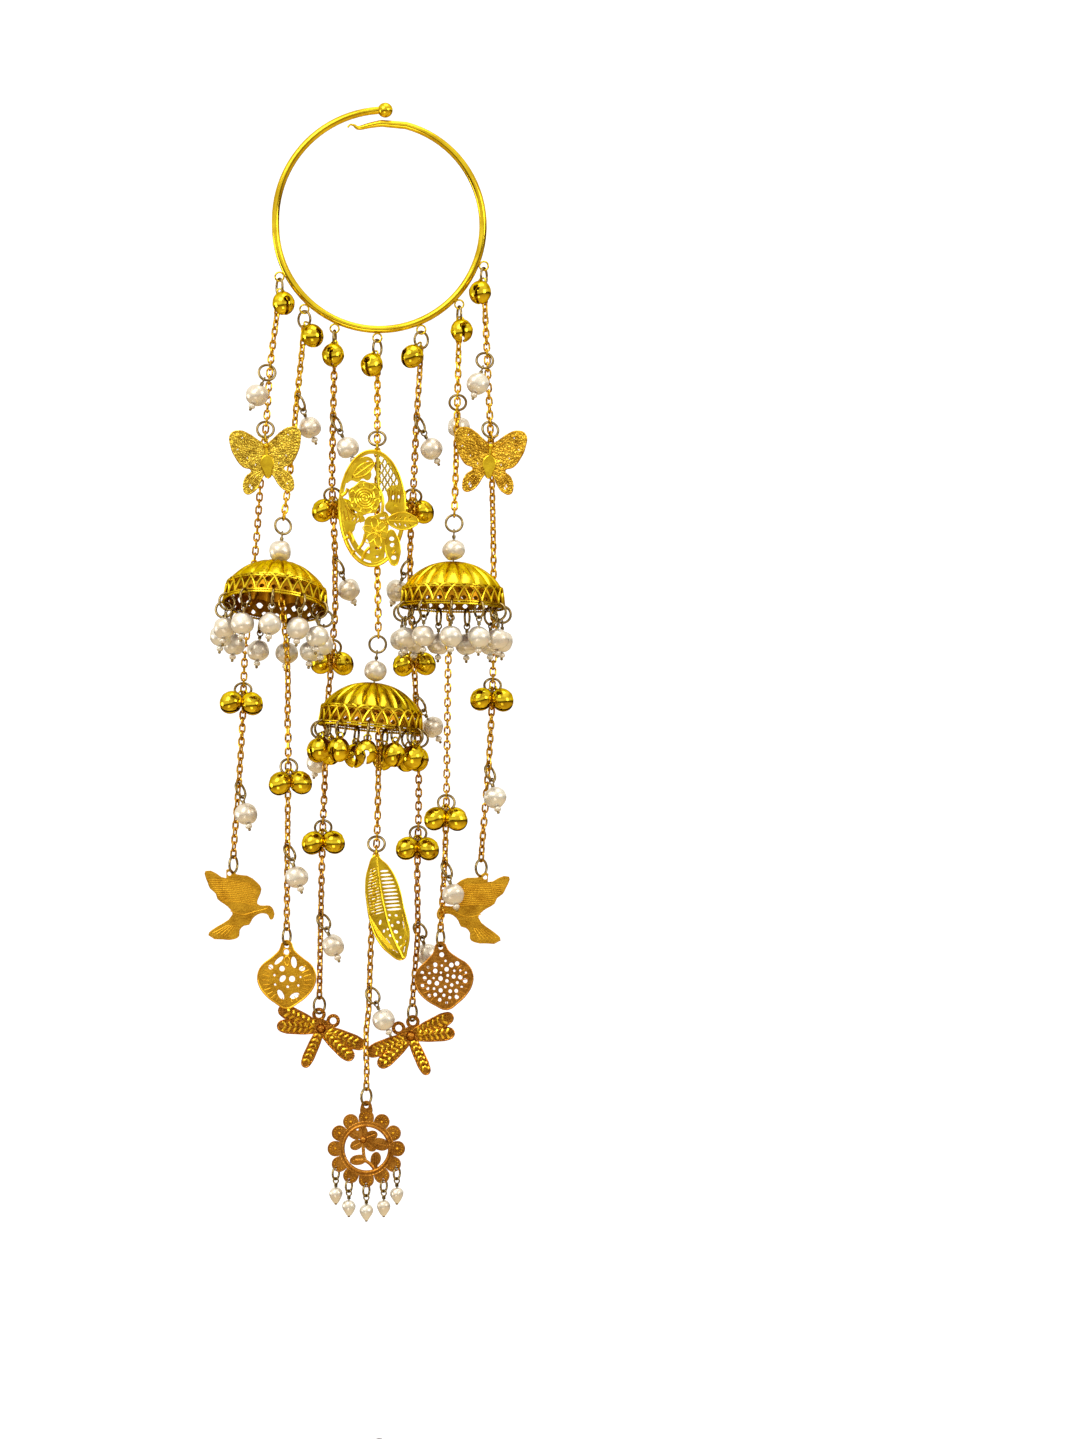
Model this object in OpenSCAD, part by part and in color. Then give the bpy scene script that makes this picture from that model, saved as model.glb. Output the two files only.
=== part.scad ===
/* [Bangle] */
// Inside diameter of the bangle
bangle_inner_d = 64; // [60:1:68]
// Thickness of the bangle's wire
bangle_wire_d = 2.4; // [2:0.1:2.8]
// Diameter of the ball on the bangle's end
ball_d = 4.8; // [4:0.1:5.5]
// Outside diameter of a loop soldered to the bangle
loop_d = 3.4; // [3.4:0.1:3.8]

/* [Chains and rings] */
// Width of a chain across its links
chain_d = 1.9; // [1.4:0.1:2]
// Outside diameter of a jump ring
ring_d = 6; // [5.9:0.1:6.3]
// Thickness of a jump ring's wire
ring_wire_d = 0.7; // [0.6:0.05:0.75]

/* [Bells and pearls] */
// Diameter of a bell
bell_d = 6.6; // [6:0.1:6.8]
// Diameter of a pearl
pearl_d = 7.4; // [6.8:0.1:7.6]
// Diameter of a small pearl under the sun disc
small_pearl_d = 4.2; // [3.8:0.1:4.6]

/* [Umbrellas] */
// Diameter of an umbrella at its rim
umbrella_d = 33; // [30:0.5:34]
// Height of the dome above its band
dome_h = 8.3; // [7:0.1:9]
// Height of the pierced band
band_h = 6.8; // [6:0.1:7]
// Thickness of the umbrella's sheet metal
umbrella_wall = 0.6; // [0.5:0.1:0.8]
// Number of diamonds pierced in a band
diamonds = 16; // [12:1:18]
// Number of drops hung round a rim
fringe_count = 11; // [9:1:11]

/* [Charms] */
// Thickness of the stamped charms
charm_t = 0.7; // [0.6:0.1:0.8]
// Radius of the sun disc's round opening
sun_open_r = 7; // [6.5:0.1:7.2]

/* [Hidden] */
gap = 0.1;
solder_sink = 0.25;
round_fn = 48;
wire_fn = 24;

bangle_r = (bangle_inner_d + bangle_wire_d) / 2;
bangle_z = -bangle_inner_d / 2;
arm_shift = 1.9;
taper_angle = 75;
// The thinning end past the taper's start, and the columns are x, z, wire
ARM_END = [[0, 1.2, 1.6], [-6.5, -0.9, 0.9], [-8.5, 0.5, 0.8], [-9.9, -0.2, 0.8]];
loop_wire_d = 0.6;
loop_angles = [207, 228, 246.5, 269, 292, 315.5, 339];

ring_r = (ring_d - ring_wire_d) / 2;
tube_over = ring_wire_d / 2 + 0.15;
tube_under = ring_wire_d / 2 + 0.55;
hook_in = (loop_d - 2 * loop_wire_d) / 2 + loop_wire_d / 2 - (loop_wire_d + ring_wire_d) / 2 - gap;
first_drop = hook_in + 2 * ring_r;

eye_r = 0.95;
eye_wire_d = 0.5;
eye_z = -2 * ring_r + (ring_wire_d + eye_wire_d) / 2 + gap - eye_r;
pin_d = 0.6;
bead_bore_d = 1;
neck_d = 1.2;
neck_len = 0.9;
pearl_z = eye_z - eye_r - neck_len - gap - pearl_d / 2;
seed_room = 1.8;

bell_loop_r = 1.1;
bell_loop_wire_d = 0.6;
bell_loop_z = (ring_wire_d + bell_loop_wire_d) / 2 + gap - bell_loop_r;
bell_z = bell_loop_z - bell_loop_r - bell_d / 2 + 0.25;
bell_wall = 0.4;
pair_angle = 31;
single_angle = 34;

dome_z = pearl_z - pearl_d / 2 - gap;
dome_r = (pow(umbrella_d / 2 - 1, 2) + dome_h * dome_h) / (2 * dome_h);
rim_wire_d = 0.9;
rim_z = -dome_h - band_h + rim_wire_d / 2;
fringe_z = rim_z + (rim_wire_d + ring_wire_d) / 2 + gap;
fringe_r = umbrella_d / 2 - 0.3;
fringe_hole_r = ring_wire_d / 2 + 0.3;
lower_eye_z = dome_z - umbrella_wall - 1.6;
lower_start = -lower_eye_z + eye_r + 0.5;

charm_hole_r = 0.9;
charm_hole_z = ring_wire_d / 2 + 2 * gap - charm_hole_r;
charm_loop_z = bell_loop_z;
small_ring_r = 1.9;
small_ring_wire_d = 0.6;

// Each strand's route below its loop, and the columns are drop, x, y
ROUTES = [
    [[6, 0, 0.9], [28, -3, 0], [46, -4, -1], [62, -6, 3], [84, -8, 13], [122, -12, 13],
     [140, -12, 6], [160, -13, 3], [186, -15, 2]],
    [[6, 0, 0.9], [30, -2.5, 0], [48, -4, 0], [67, -6.5, -3], [86, -7.5, -8], [112, -5, -6],
     [145, -5, -3], [198, -5.5, -3]],
    [[6, 0, 0.9], [28, -0.5, 0], [50, -1, 2], [74, 0, 8], [104, -1, 10], [122, -3, 10],
     [144, -3.5, 9.5], [160, -4, 4.5], [185, -4.5, 3], [214, -5, 2.5]],
    [[6, 0, 0.9], [30, 0, 0], [74, 0, -0.5], [95.5, 0.5, -4], [114, 0.5, -6], [140, 0.5, -5.5],
     [160, 0, -3], [193, -2, -2], [240, -3.5, -2]],
    [[6, 0, 0.9], [28, -1.5, 0], [50, -2.5, 2], [74, -4, 8], [100, -3, 11], [125, -1.5, 11.5],
     [141, -1, 10.5], [158, -1, 5], [175, -1.5, 3], [192, -1, 3], [216, -3, 2.5]],
    [[6, 0, 0.9], [28, -0.5, 0], [50, -1, 0], [67.5, -1.5, -2], [86, -2.5, -4], [115, -3.5, -4],
     [157, -4, -3], [179, -4.5, -3], [200, -6, -3]],
    [[6, 0, 0.9], [28, 1, 0], [50, 2, -1], [66, 2.5, 3], [90, 3, 10], [124, 3, 11],
     [142, 2.5, 6], [160, 1.5, 3], [190, -1, 2]]];

// What hangs on each strand, and the columns are kind, drop, side round the chain, turn of its ring
HUNG = [
    [["pearl", 28.5, 226, 0], ["butterfly", 46.5, -90, 0], ["bells", 130, -97, 0],
     ["pearl", 162, -50, 65], ["bird", 185.5, 0, 65]],
    [["pearl", 27.5, 25, -65], ["umbrella", 67, 0, 20], ["bells", 144, -75, 10],
     ["pearl", 171.5, -50, 60], ["leaf", 198, 0, 65]],
    [["pearl", 28, -20, 65], ["bells", 51, 90, 0], ["pearl", 73.5, 30, -60], ["bells", 99.5, 90, 0],
     ["pearl", 129, 120, 30], ["bells", 157.5, -82, 0], ["pearl", 187.5, -35, 50],
     ["dragonfly", 214, 0, 50]],
    [["oval", 30, -90, 0], ["umbrella", 95.5, 0, 0], ["feather", 159.5, -90, 0],
     ["pearl", 208, -20, 45], ["sun", 240, 0, 55]],
    [["pearl", 28, 0, 65], ["bells", 51, 90, 0], ["pearl", 73.5, 150, 60], ["bells", 99.5, 90, 0],
     ["pearl", 117.5, 20, -60], ["bells", 159, -90, 0], ["pearl", 190, 50, -45],
     ["dragonfly", 216, 0, 60]],
    [["pearl", 29, 85, 0], ["umbrella", 67.5, 0, 0], ["bells", 157, -90, 0],
     ["pearl", 178.5, -50, 60], ["leaf", 200, 0, 65]],
    [["pearl", 28, 228, 0], ["butterfly", 50, -90, 20], ["bells", 132, -90, 0],
     ["pearl", 160, -55, 60], ["bird", 190, 0, 50]]];

// How the three umbrellas lean, as sideways and forward run for each unit of drop
LEAN = [[-0.09, -0.28], [-0.02, -0.07], [-0.09, -0.06]];
umbrella_strands = [1, 5, 3];
// Which way the bell on each strand's first ring hangs from the chain, with -90 to the front
top_turns = [-66, -42, -96, -118, -142, -76, -110];

function polar(r, a) = [r * cos(a), 0, r * sin(a)];
function loop_at(s) = polar(bangle_r + (bangle_wire_d + loop_d) / 2 - 0.25, loop_angles[s]) + [0, 0, bangle_z];
function track(rows, column) = [for (r = rows) [r[0], r[column]]];
function eased(t, d) = (lookup(d - 5, t) + 2 * lookup(d, t) + lookup(d + 5, t)) / 4;
function at(s, d) = loop_at(s) + [eased(track(ROUTES[s], 1), d), eased(track(ROUTES[s], 2), d), -d];
function side_run(kind) = kind == "pearl" ? [5, 9.7] : kind == "bells" ? [2.6, 6] : [3.4, 6];
function is_end(s, i) = i == len(HUNG[s]) - 1;
// The way in which what hangs at row i of strand s points down
function fall(s, i) = let(h = HUNG[s][i], r = side_run(h[0]), u = search(s, umbrella_strands))
    h[0] == "umbrella" ? [LEAN[u[0]].x, LEAN[u[0]].y, -1]
    : is_end(s, i) ? [0, 0, -1]
    : at(s, h[1] + r[1]) - at(s, h[1]) + r[0] * [cos(h[2]), sin(h[2]), 0];
function unit(v) = v / norm(v);
function hung_at(s, i, down) = at(s, HUNG[s][i][1]) + down * unit(fall(s, i));

// Turns the straight down direction of its children to point along v
module along(p, v) {
    translate(p)
        rotate([asin(v.y / norm(v)), atan2(-v.x, -v.z), 0])
            children();
}

module hang(s, i) {
    along(at(s, HUNG[s][i][1]), fall(s, i)) children();
}

module torus(r, wire) {
    rotate([90, 0, 0])
        rotate_extrude($fn = round_fn)
            translate([r, 0]) circle(d = wire, $fn = wire_fn);
}

module rod(p, q, d) {
    v = q - p;
    along(p, v) translate([0, 0, -norm(v)]) cylinder(h = norm(v), d = d, $fn = wire_fn);
}

module bangle_arc(r, from, sweep) {
    rotate([90, 0, 0]) rotate([0, 0, from])
        rotate_extrude(angle = sweep, $fn = 96)
            translate([r, 0]) circle(d = bangle_wire_d, $fn = wire_fn);
}

module tapered_rod(p, q, d1, d2) {
    v = q - p;
    along(p, v) translate([0, 0, -norm(v)]) cylinder(h = norm(v), d1 = d2, d2 = d1, $fn = wire_fn);
    translate(q) sphere(d = d2 + 0.02, $fn = wire_fn);
}

// A sprung ring that overlaps itself at the top, with a ball on one end and a hook on the other
module bangle() {
    centre = [0, 0, bangle_z];
    arm_centre = centre + [arm_shift, 0, arm_shift];
    start = centre + polar(bangle_r, taper_angle);
    arm = concat([[start.x, start.z, bangle_wire_d]], ARM_END);
    color("goldenrod") {
        translate(centre) bangle_arc(bangle_r, 180, 180 + taper_angle);
        translate([-bangle_r, 0, bangle_z]) cylinder(h = arm_shift, d = bangle_wire_d, $fn = wire_fn);
        translate(arm_centre) bangle_arc(bangle_r + arm_shift, 90, 90);
        translate(arm_centre + [0, 0, bangle_r + arm_shift]) sphere(d = ball_d, $fn = round_fn);
        for (i = [0:len(arm) - 2])
            tapered_rod([arm[i][0], 0, arm[i][1]], [arm[i + 1][0], 0, arm[i + 1][1]], arm[i][2], arm[i + 1][2]);
        for (s = [0:len(loop_angles) - 1])
            translate(loop_at(s)) torus((loop_d - loop_wire_d) / 2, loop_wire_d);
    }
}

// One stretch of chain, swept down a list of points
module chain_stretch(points) {
    sides = 8;
    last = len(points) - 1;
    rows = [for (p = points) for (k = [0:sides - 1])
        p + [cos(360 * k / sides), sin(360 * k / sides), 0] * chain_d / 2];
    walls = [for (i = [0:last - 1]) for (k = [0:sides - 1]) let(n = (k + 1) % sides)
        [i * sides + k, i * sides + n, (i + 1) * sides + n, (i + 1) * sides + k]];
    polyhedron(concat(rows, []),
        concat([[for (k = [sides - 1:-1:0]) k]], walls, [[for (k = [0:sides - 1]) last * sides + k]]));
}

function stretch_start(s, i) = i == 0 ? first_drop + tube_under : HUNG[s][i - 1][1] + tube_under;
function stretch_points(s, i) = let(
        a = stretch_start(s, i), b = HUNG[s][i][1] - tube_over,
        under = i > 0 && HUNG[s][i - 1][0] == "umbrella",
        a2 = under ? a + lower_start + 6 : a, n = ceil((b - a2) / 7))
    concat(under ? [hung_at(s, i - 1, lower_start)] : [], [for (k = [0:n]) at(s, a2 + (b - a2) * k / n)]);

module chain(s) {
    color("goldenrod") for (i = [0:len(HUNG[s]) - 1]) chain_stretch(stretch_points(s, i));
}

module jump_ring(turn) {
    rotate([0, 0, turn]) translate([0, 0, -ring_r]) torus(ring_r, ring_wire_d);
}

module top_ring(s) {
    translate(loop_at(s) + [0, 0, -hook_in]) rotate([0, 0, top_turns[s]]) children();
}

module jump_rings(s) {
    color("khaki") {
        top_ring(s) jump_ring(0);
        for (i = [0:len(HUNG[s]) - 1]) hang(s, i) jump_ring(HUNG[s][i][3]);
    }
}

// A round crotal bell, hollow, with a flange, a slot and a loop
module bell() {
    torus_z = bell_loop_z;
    difference() {
        union() {
            translate([0, 0, bell_z]) sphere(d = bell_d, $fn = round_fn);
            translate([0, 0, bell_z - 0.25]) cylinder(h = 0.5, d = bell_d + 0.5, $fn = round_fn);
            rotate([0, 0, 90]) translate([0, 0, torus_z]) torus(bell_loop_r, bell_loop_wire_d);
        }
        translate([0, 0, bell_z]) sphere(d = bell_d - 2 * bell_wall, $fn = round_fn);
        translate([0, 0, bell_z - bell_d / 2]) cube([bell_d - 1.2, 0.6, bell_d - 1], center = true);
    }
}

module ring_bell(angle) {
    translate([0, 0, -ring_r]) rotate([0, angle, 0]) translate([0, 0, -ring_r]) bell();
}

module bells(s) {
    color("gold") {
        top_ring(s) ring_bell(-single_angle);
        for (i = [0:len(HUNG[s]) - 1]) if (HUNG[s][i][0] == "bells")
            hang(s, i) rotate([0, 0, HUNG[s][i][3]]) for (side = [-1, 1]) ring_bell(side * pair_angle);
    }
}

module pearl(d) {
    difference() {
        sphere(d = d, $fn = round_fn);
        cylinder(h = d + 1, d = bead_bore_d, center = true, $fn = wire_fn);
    }
}

module pearls(s) {
    color("ivory") for (i = [0:len(HUNG[s]) - 1]) if (HUNG[s][i][0] == "pearl")
        hang(s, i) translate([0, 0, pearl_z]) pearl(pearl_d);
}

// The eye, the wrapped neck and the stem that a bead is threaded on
module pin_stem(eye_at, bottom) {
    translate([0, 0, eye_at]) torus(eye_r, eye_wire_d);
    translate([0, 0, eye_at - eye_r - neck_len]) cylinder(h = neck_len + 0.1, d = neck_d, $fn = wire_fn);
    translate([0, 0, bottom]) cylinder(h = eye_at - eye_r - 0.2 - bottom, d = pin_d, $fn = wire_fn);
}

module head_pin(turn, bead_d) {
    bottom = pearl_z - bead_d / 2 - seed_room;
    rotate([0, 0, turn + 90]) {
        pin_stem(eye_z, bottom);
        translate([0, 0, bottom]) sphere(d = pin_d + 0.4, $fn = wire_fn);
    }
}

module head_pins(s) {
    color("khaki") for (i = [0:len(HUNG[s]) - 1]) if (HUNG[s][i][0] == "pearl")
        hang(s, i) head_pin(HUNG[s][i][3], pearl_d);
}

module at_umbrella(u) {
    s = umbrella_strands[u];
    for (i = [0:len(HUNG[s]) - 1]) if (HUNG[s][i][0] == "umbrella") hang(s, i) children();
}

module umbrella_profile() {
    edge = umbrella_d / 2;
    difference() {
        intersection() {
            translate([0, -dome_r]) difference() {
                circle(r = dome_r, $fn = 128);
                circle(r = dome_r - umbrella_wall, $fn = 128);
            }
            translate([bead_bore_d / 2, -dome_h - 0.3]) square([edge - 1 - bead_bore_d / 2, dome_h + 1]);
        }
    }
    polygon([[edge - 1.5, -dome_h - 0.1], [edge - 0.9, -dome_h + 0.3], [edge, rim_z], [edge - 0.6, rim_z]]);
}

// A domed cap with a pierced band and two rim wires
module umbrella(u) {
    edge = umbrella_d / 2;
    color("goldenrod") at_umbrella(u) translate([0, 0, dome_z]) difference() {
        union() {
            rotate_extrude($fn = 128) umbrella_profile();
            translate([0, 0, -dome_h]) rotate([90, 0, 0]) torus(edge - 1, rim_wire_d - 0.1);
        }
        for (k = [0:diamonds - 1])
            rotate([0, 0, 360 * (k + 0.5) / diamonds]) translate([edge, 0, -dome_h - band_h / 2 + 0.3])
                rotate([45, 0, 0]) cube([6, 2, 2], center = true);
        for (k = [0:fringe_count - 1])
            rotate([0, 0, fringe_angle(k)]) translate([edge, 0, fringe_z])
                rotate([0, 90, 0]) cylinder(h = 6, r = fringe_hole_r, center = true, $fn = wire_fn);
    }
    color("goldenrod") at_umbrella(u) translate([0, 0, dome_z + rim_z])
        rotate([90, 0, 0]) torus(edge - 0.3, rim_wire_d);
}

function fringe_angle(k) = -90 + 360 * k / fringe_count;

module on_rim(u) {
    at_umbrella(u) for (k = [0:fringe_count - 1])
        rotate([0, 0, fringe_angle(k)]) translate([fringe_r, 0, dome_z + fringe_z]) children();
}

// A ring through the rim with the pin of its bead, as one wire
module fringe_wires(u) {
    color("khaki") on_rim(u) {
        translate([0, 0, -ring_r]) torus(ring_r, ring_wire_d);
        if (u < 2) translate([0, 0, -solder_sink]) head_pin(0, pearl_d);
    }
}

module fringe_pearls(u) {
    color("ivory") on_rim(u) translate([0, 0, pearl_z - solder_sink]) pearl(pearl_d);
}

module fringe_bells(u) {
    color("gold") on_rim(u) translate([0, 0, -2 * ring_r]) bell();
}

module crown_pearls() {
    color("ivory") for (u = [0:2]) at_umbrella(u) translate([0, 0, pearl_z]) pearl(pearl_d);
}

module eye_pins() {
    color("khaki") for (u = [0:2]) at_umbrella(u) {
        rotate([0, 0, 90]) pin_stem(eye_z, lower_eye_z + eye_r - 0.2);
        translate([0, 0, lower_eye_z]) torus(eye_r, eye_wire_d);
    }
}

// Places a charm below the ring of a row, upright and with its origin at the ring's bottom wire
module charm_on(s, i, spin) {
    translate(hung_at(s, i, 2 * ring_r)) rotate([0, spin, 0]) children();
}

module plate(t) {
    rotate([90, 0, 0]) linear_extrude(t, center = true) children();
}

module charm_loop(turn) {
    translate([0, 0, charm_loop_z]) rotate([0, 0, turn + 90]) torus(bell_loop_r, bell_loop_wire_d);
}

module charm_hole() {
    translate([0, charm_hole_z]) circle(r = charm_hole_r, $fn = wire_fn);
}

// A pointed oval of given length and width, standing on its lower point
module lens(length, width) {
    r = (length * length / width + width) / 4;
    translate([0, length / 2]) intersection() {
        translate([r - width / 2, 0]) circle(r = r, $fn = 64);
        translate([width / 2 - r, 0]) circle(r = r, $fn = 64);
    }
}

module lens_along(length, width) {
    rotate(-90) lens(length, width);
}

wing_outline = [[0.3, -3.5], [2.5, -1], [5, 1.2], [8.6, 2.3], [11.2, 1.8], [12.2, 0], [11.8, -3], [10.2, -6],
    [9.4, -9], [7, -11], [4.4, -11.2], [6.6, -13.2], [7.8, -15.6], [7, -18], [4.4, -18], [1.4, -14], [0.3, -10]];
wing_bend = 12;

module butterfly(s, i) {
    color("gold") charm_on(s, i, s == 0 ? -4 : 4) {
        charm_loop(HUNG[s][i][3]);
        for (side = [0, 1]) mirror([side, 0, 0]) rotate([0, 0, -wing_bend]) difference() {
            plate(charm_t) translate([-0.2, 0]) polygon(wing_outline);
            for (h = [[3.2, -4.6, 0.6], [5.6, -3, 0.7], [8.2, -2, 0.8], [5, -7.4, 0.6], [7.6, -5.6, 0.7], [5, -15, 0.7]])
                translate([h[0], 0, h[1]]) rotate([90, 0, 0])
                    cylinder(h = 4, r = h[2], center = true, $fn = wire_fn);
        }
        translate([0, 0, -13]) cylinder(h = 10.4, r = 0.9, $fn = wire_fn);
        translate([0, 0, -2.8]) sphere(r = 1.3, $fn = wire_fn);
        translate([0, 0, -1.8]) cylinder(h = 0.8, r = 0.35, $fn = wire_fn);
    }
}

bird_outline = [[-9.4, 1.4], [-5.6, 0.6], [-1.8, -1.4], [-2.2, 1.8], [-0.6, 1.6], [4.2, -0.3], [7.6, -2.4],
    [8.8, -4.4], [7.4, -9.2], [9.8, -9.8], [11.4, -9.8], [12.6, -11], [12.8, -13.4], [11.8, -14.3], [11, -12.8],
    [9.6, -12], [7.6, -12.5], [5.8, -14], [5, -15.8], [3.4, -16], [1.8, -17.7], [1.8, -19.4], [0.6, -20.3],
    [-3.2, -20.5], [-7.8, -19.1], [-6.8, -17.7], [-3.2, -15.4], [0, -12.5], [-0.6, -11], [-2.8, -9.2],
    [-5, -7.6], [-5.4, -5.8], [-7.2, -4.2], [-8.2, -2.2], [-9.2, -0.4]];

bird_drop = -0.8;
// A flying bird cut from sheet, with raised feather ribs on its wing
module bird(s, i) {
    color("darkgoldenrod") charm_on(s, i, s == 0 ? 0 : 5) mirror([s == 0 ? 0 : 1, 0, 0]) {
        plate(charm_t) difference() {
            translate([0, bird_drop]) polygon(bird_outline);
            charm_hole();
        }
        for (k = [0:4])
            translate([-4.6 + 1.9 * k, 0, -3.4 - 1.2 * k]) rotate([0, 35, 0])
                cube([5.4, charm_t + 0.4, 0.35], center = true);
    }
}

// The right half of the leaf drop's outline, from the top down
leaf_half = [[-0.1, 1.1], [0.9, 1.1], [2.3, -1.8], [5.1, -4.4], [7.9, -6.7], [9.2, -9.8], [8.8, -12.8],
    [6.8, -15.9], [3.6, -18.5], [-0.1, -20.4]];
module leaf_shape() {
    polygon(leaf_half);
    mirror([1, 0]) polygon(leaf_half);
}

module leaf_piercing() {
    translate([0, -3.4]) circle(r = 0.7, $fn = wire_fn);
    for (side = [-1, 1]) {
        translate([side * 3.2, -8.2]) rotate(side * 32) lens(3.6, 1.7);
        translate([side * 0.9, -17.6]) rotate(side * -38) lens(3.6, 1.9);
        translate([side * 5.6, -8.4]) circle(r = 0.9, $fn = wire_fn);
    }
    for (k = [0:2]) translate([0, -11.5]) rotate(90 + 120 * k) translate([1.5, 0]) circle(r = 0.9, $fn = wire_fn);
}

// A leaf drop with raised rays round its middle
module leaf(s, i) {
    color("darkgoldenrod") charm_on(s, i, s == 1 ? 0 : -6) {
        plate(charm_t) difference() {
            leaf_shape();
            charm_hole();
            leaf_piercing();
        }
        for (k = [0:11]) if (k < 2 || k > 4)
            translate([0, 0, -11.5]) rotate([0, 30 * k, 0]) translate([5.2, 0, 0])
                cube([3.2, charm_t + 0.4, 0.4], center = true);
    }
}

// A blunt wing or tail of given length and width, standing on its root
module paddle(length, width) {
    polygon([[-0.9, 0], [0.9, 0], [width / 2, length / 3], [width / 2, length - width / 2],
        [-width / 2, length - width / 2], [-width / 2, length / 3]]);
    translate([0, length - width / 2]) circle(d = width, $fn = 32);
}

// A dragonfly with ridged wings, hung by one of its round eyes
module dragonfly(s, i) {
    side = s == 2 ? 1 : -1;
    wing_rows = [[15, -2, 4.2], [14, 20, 4.2]];
    color("darkgoldenrod") charm_on(s, i, side * 24) mirror([s == 2 ? 0 : 1, 0, 0])
        translate([2.5, 0, charm_hole_z - 0.3]) {
            plate(charm_t) difference() {
                union() {
                    for (e = [-1, 1]) translate([e * 2.5, 0.3]) circle(r = 2.2, $fn = 32);
                    translate([0, -3.2]) circle(r = 2.6, $fn = 32);
                    translate([0, -3]) rotate(180) paddle(14, 4);
                    for (w = wing_rows) for (e = [-1, 1])
                        translate([0, -3.6]) rotate(e * (90 + w[1])) paddle(w[0], w[2]);
                }
                for (e = [-1, 1]) translate([e * 2.5, 0.3]) circle(r = 1.2, $fn = wire_fn);
            }
            translate([0, 0, -3.6]) sphere(r = 1.5, $fn = wire_fn);
            for (w = wing_rows) for (e = [-1, 1]) for (k = [0:4])
                translate([0, 0, -3.6]) rotate([0, -e * (90 + w[1]), 0])
                    translate([0, 0, 4.4 + 2.1 * k]) cube([3, charm_t + 0.6, 0.7], center = true);
        }
}

oval_w = 21;
oval_h = 37;
function oval(w, h) = [for (a = [0:7.5:359]) [w / 2 * cos(a), h / 2 * sin(a)]];

// Openings round the rose and leaves, and the columns are x, z, turn, length, width
OVAL_OPENINGS = [[-3.6, 12.2, 30, 4.6, 1.9], [-6.4, 8.6, 20, 4.4, 1.9], [-8.2, 3.4, 5, 4.6, 1.8],
    [-8.8, -2.6, -8, 4.8, 1.7], [-6.6, -2.8, -25, 4, 1.9], [-7.8, -8.6, -15, 5, 1.9], [-4.4, -7.2, -30, 4.6, 2],
    [-5.6, -13.6, -28, 5, 1.9], [-1.8, -12.4, -45, 4.6, 1.9], [-1.4, -16.6, -60, 4, 1.5],
    [3.4, -14.4, 40, 4.6, 1.8], [6.8, -10.4, 15, 5, 1.7], [1.6, -9.6, 0, 4.4, 1.9],
    [4.6, 0.4, -10, 4.2, 1.8], [7.6, 1, 5, 4.2, 1.5]];

module oval_windows() {
    for (c = [0:2]) for (r = [0:3 - c])
        translate([1.6 + 2.6 * c, 13.6 - 2.7 * r - 1.35 * c]) circle(r = 1, $fn = wire_fn);
    for (o = OVAL_OPENINGS) translate([o[0], o[1]]) rotate(o[2]) lens(o[3], o[4]);
}

// An oval frame with a rose, netting, scrolls and a leaf that stands past its edge
module oval_charm() {
    centre_z = -oval_h / 2 - 1.6;
    color("gold") charm_on(3, 0, 0) {
        charm_loop(HUNG[3][0][3]);
        translate([-1.6, 0, centre_z]) {
            plate(charm_t) difference() {
                polygon(oval(oval_w, oval_h));
                oval_windows();
            }
            difference() {
                plate(charm_t + 0.8) polygon(oval(oval_w, oval_h));
                plate(charm_t + 2) polygon(oval(oval_w - 1.8, oval_h - 1.8));
            }
            for (r = [1.2, 2.5, 3.8]) translate([-2.6, -0.2, 3]) torus(r, 0.7);
            translate([0, -0.5, 0]) plate(0.7) {
                translate([1.5, -3]) rotate(-80) lens(11.5, 4.6);
                translate([1.5, -3]) rotate(-150) lens(10, 4.4);
                translate([1.5, -3]) rotate(-195) lens(11.5, 4.6);
                translate([1.5, -3]) circle(r = 2.2, $fn = 32);
            }
        }
        translate([0, 0, -1.9]) cylinder(h = 0.9, r = 0.6, $fn = wire_fn);
    }
}

feather_outline = [[0, -1.2], [1.4, -2.6], [3.6, -4.6], [6, -8.4], [7.6, -13], [8.4, -17], [9.4, -21], [10.4, -25.6],
    [9.8, -31], [8.4, -34.4], [4, -32.4], [0.6, -28.6], [-1.8, -23], [-3, -16.4], [-3.4, -11], [-2.6, -5.6]];
feather_spine = [[0, -1.6], [0.8, -9], [2.2, -17], [4.6, -25.6], [8.4, -34]];

// A curved feather with slits between its barbs
module feather() {
    color("gold") charm_on(3, 2, 0) {
        charm_loop(HUNG[3][2][3]);
        plate(charm_t) difference() {
            polygon(feather_outline);
            for (k = [0:6]) {
                translate([1.7 + 0.42 * k, -7 - 2.5 * k]) rotate(8) lens_along(3.6, 1.1);
                translate([-0.2 + 0.42 * k, -8.2 - 2.5 * k]) rotate(150) lens_along(2.2, 1);
            }
        }
        for (k = [0:len(feather_spine) - 2])
            rod([feather_spine[k].x, -0.3, feather_spine[k].y],
                [feather_spine[k + 1].x, -0.3, feather_spine[k + 1].y], 0.8);
        translate([0, 0, -1.9]) cylinder(h = 0.9, r = 0.5, $fn = wire_fn);
    }
}

sun_r = 10.1;
sun_z = -sun_r - 3.9;
drop_angles = [212, 241, 270, 299, 328];
function drop_at(a) = polar(sun_r + 1.4, a) + [0, 0, sun_z];

module at_sun() {
    charm_on(3, 4, 0) children();
}

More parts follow.
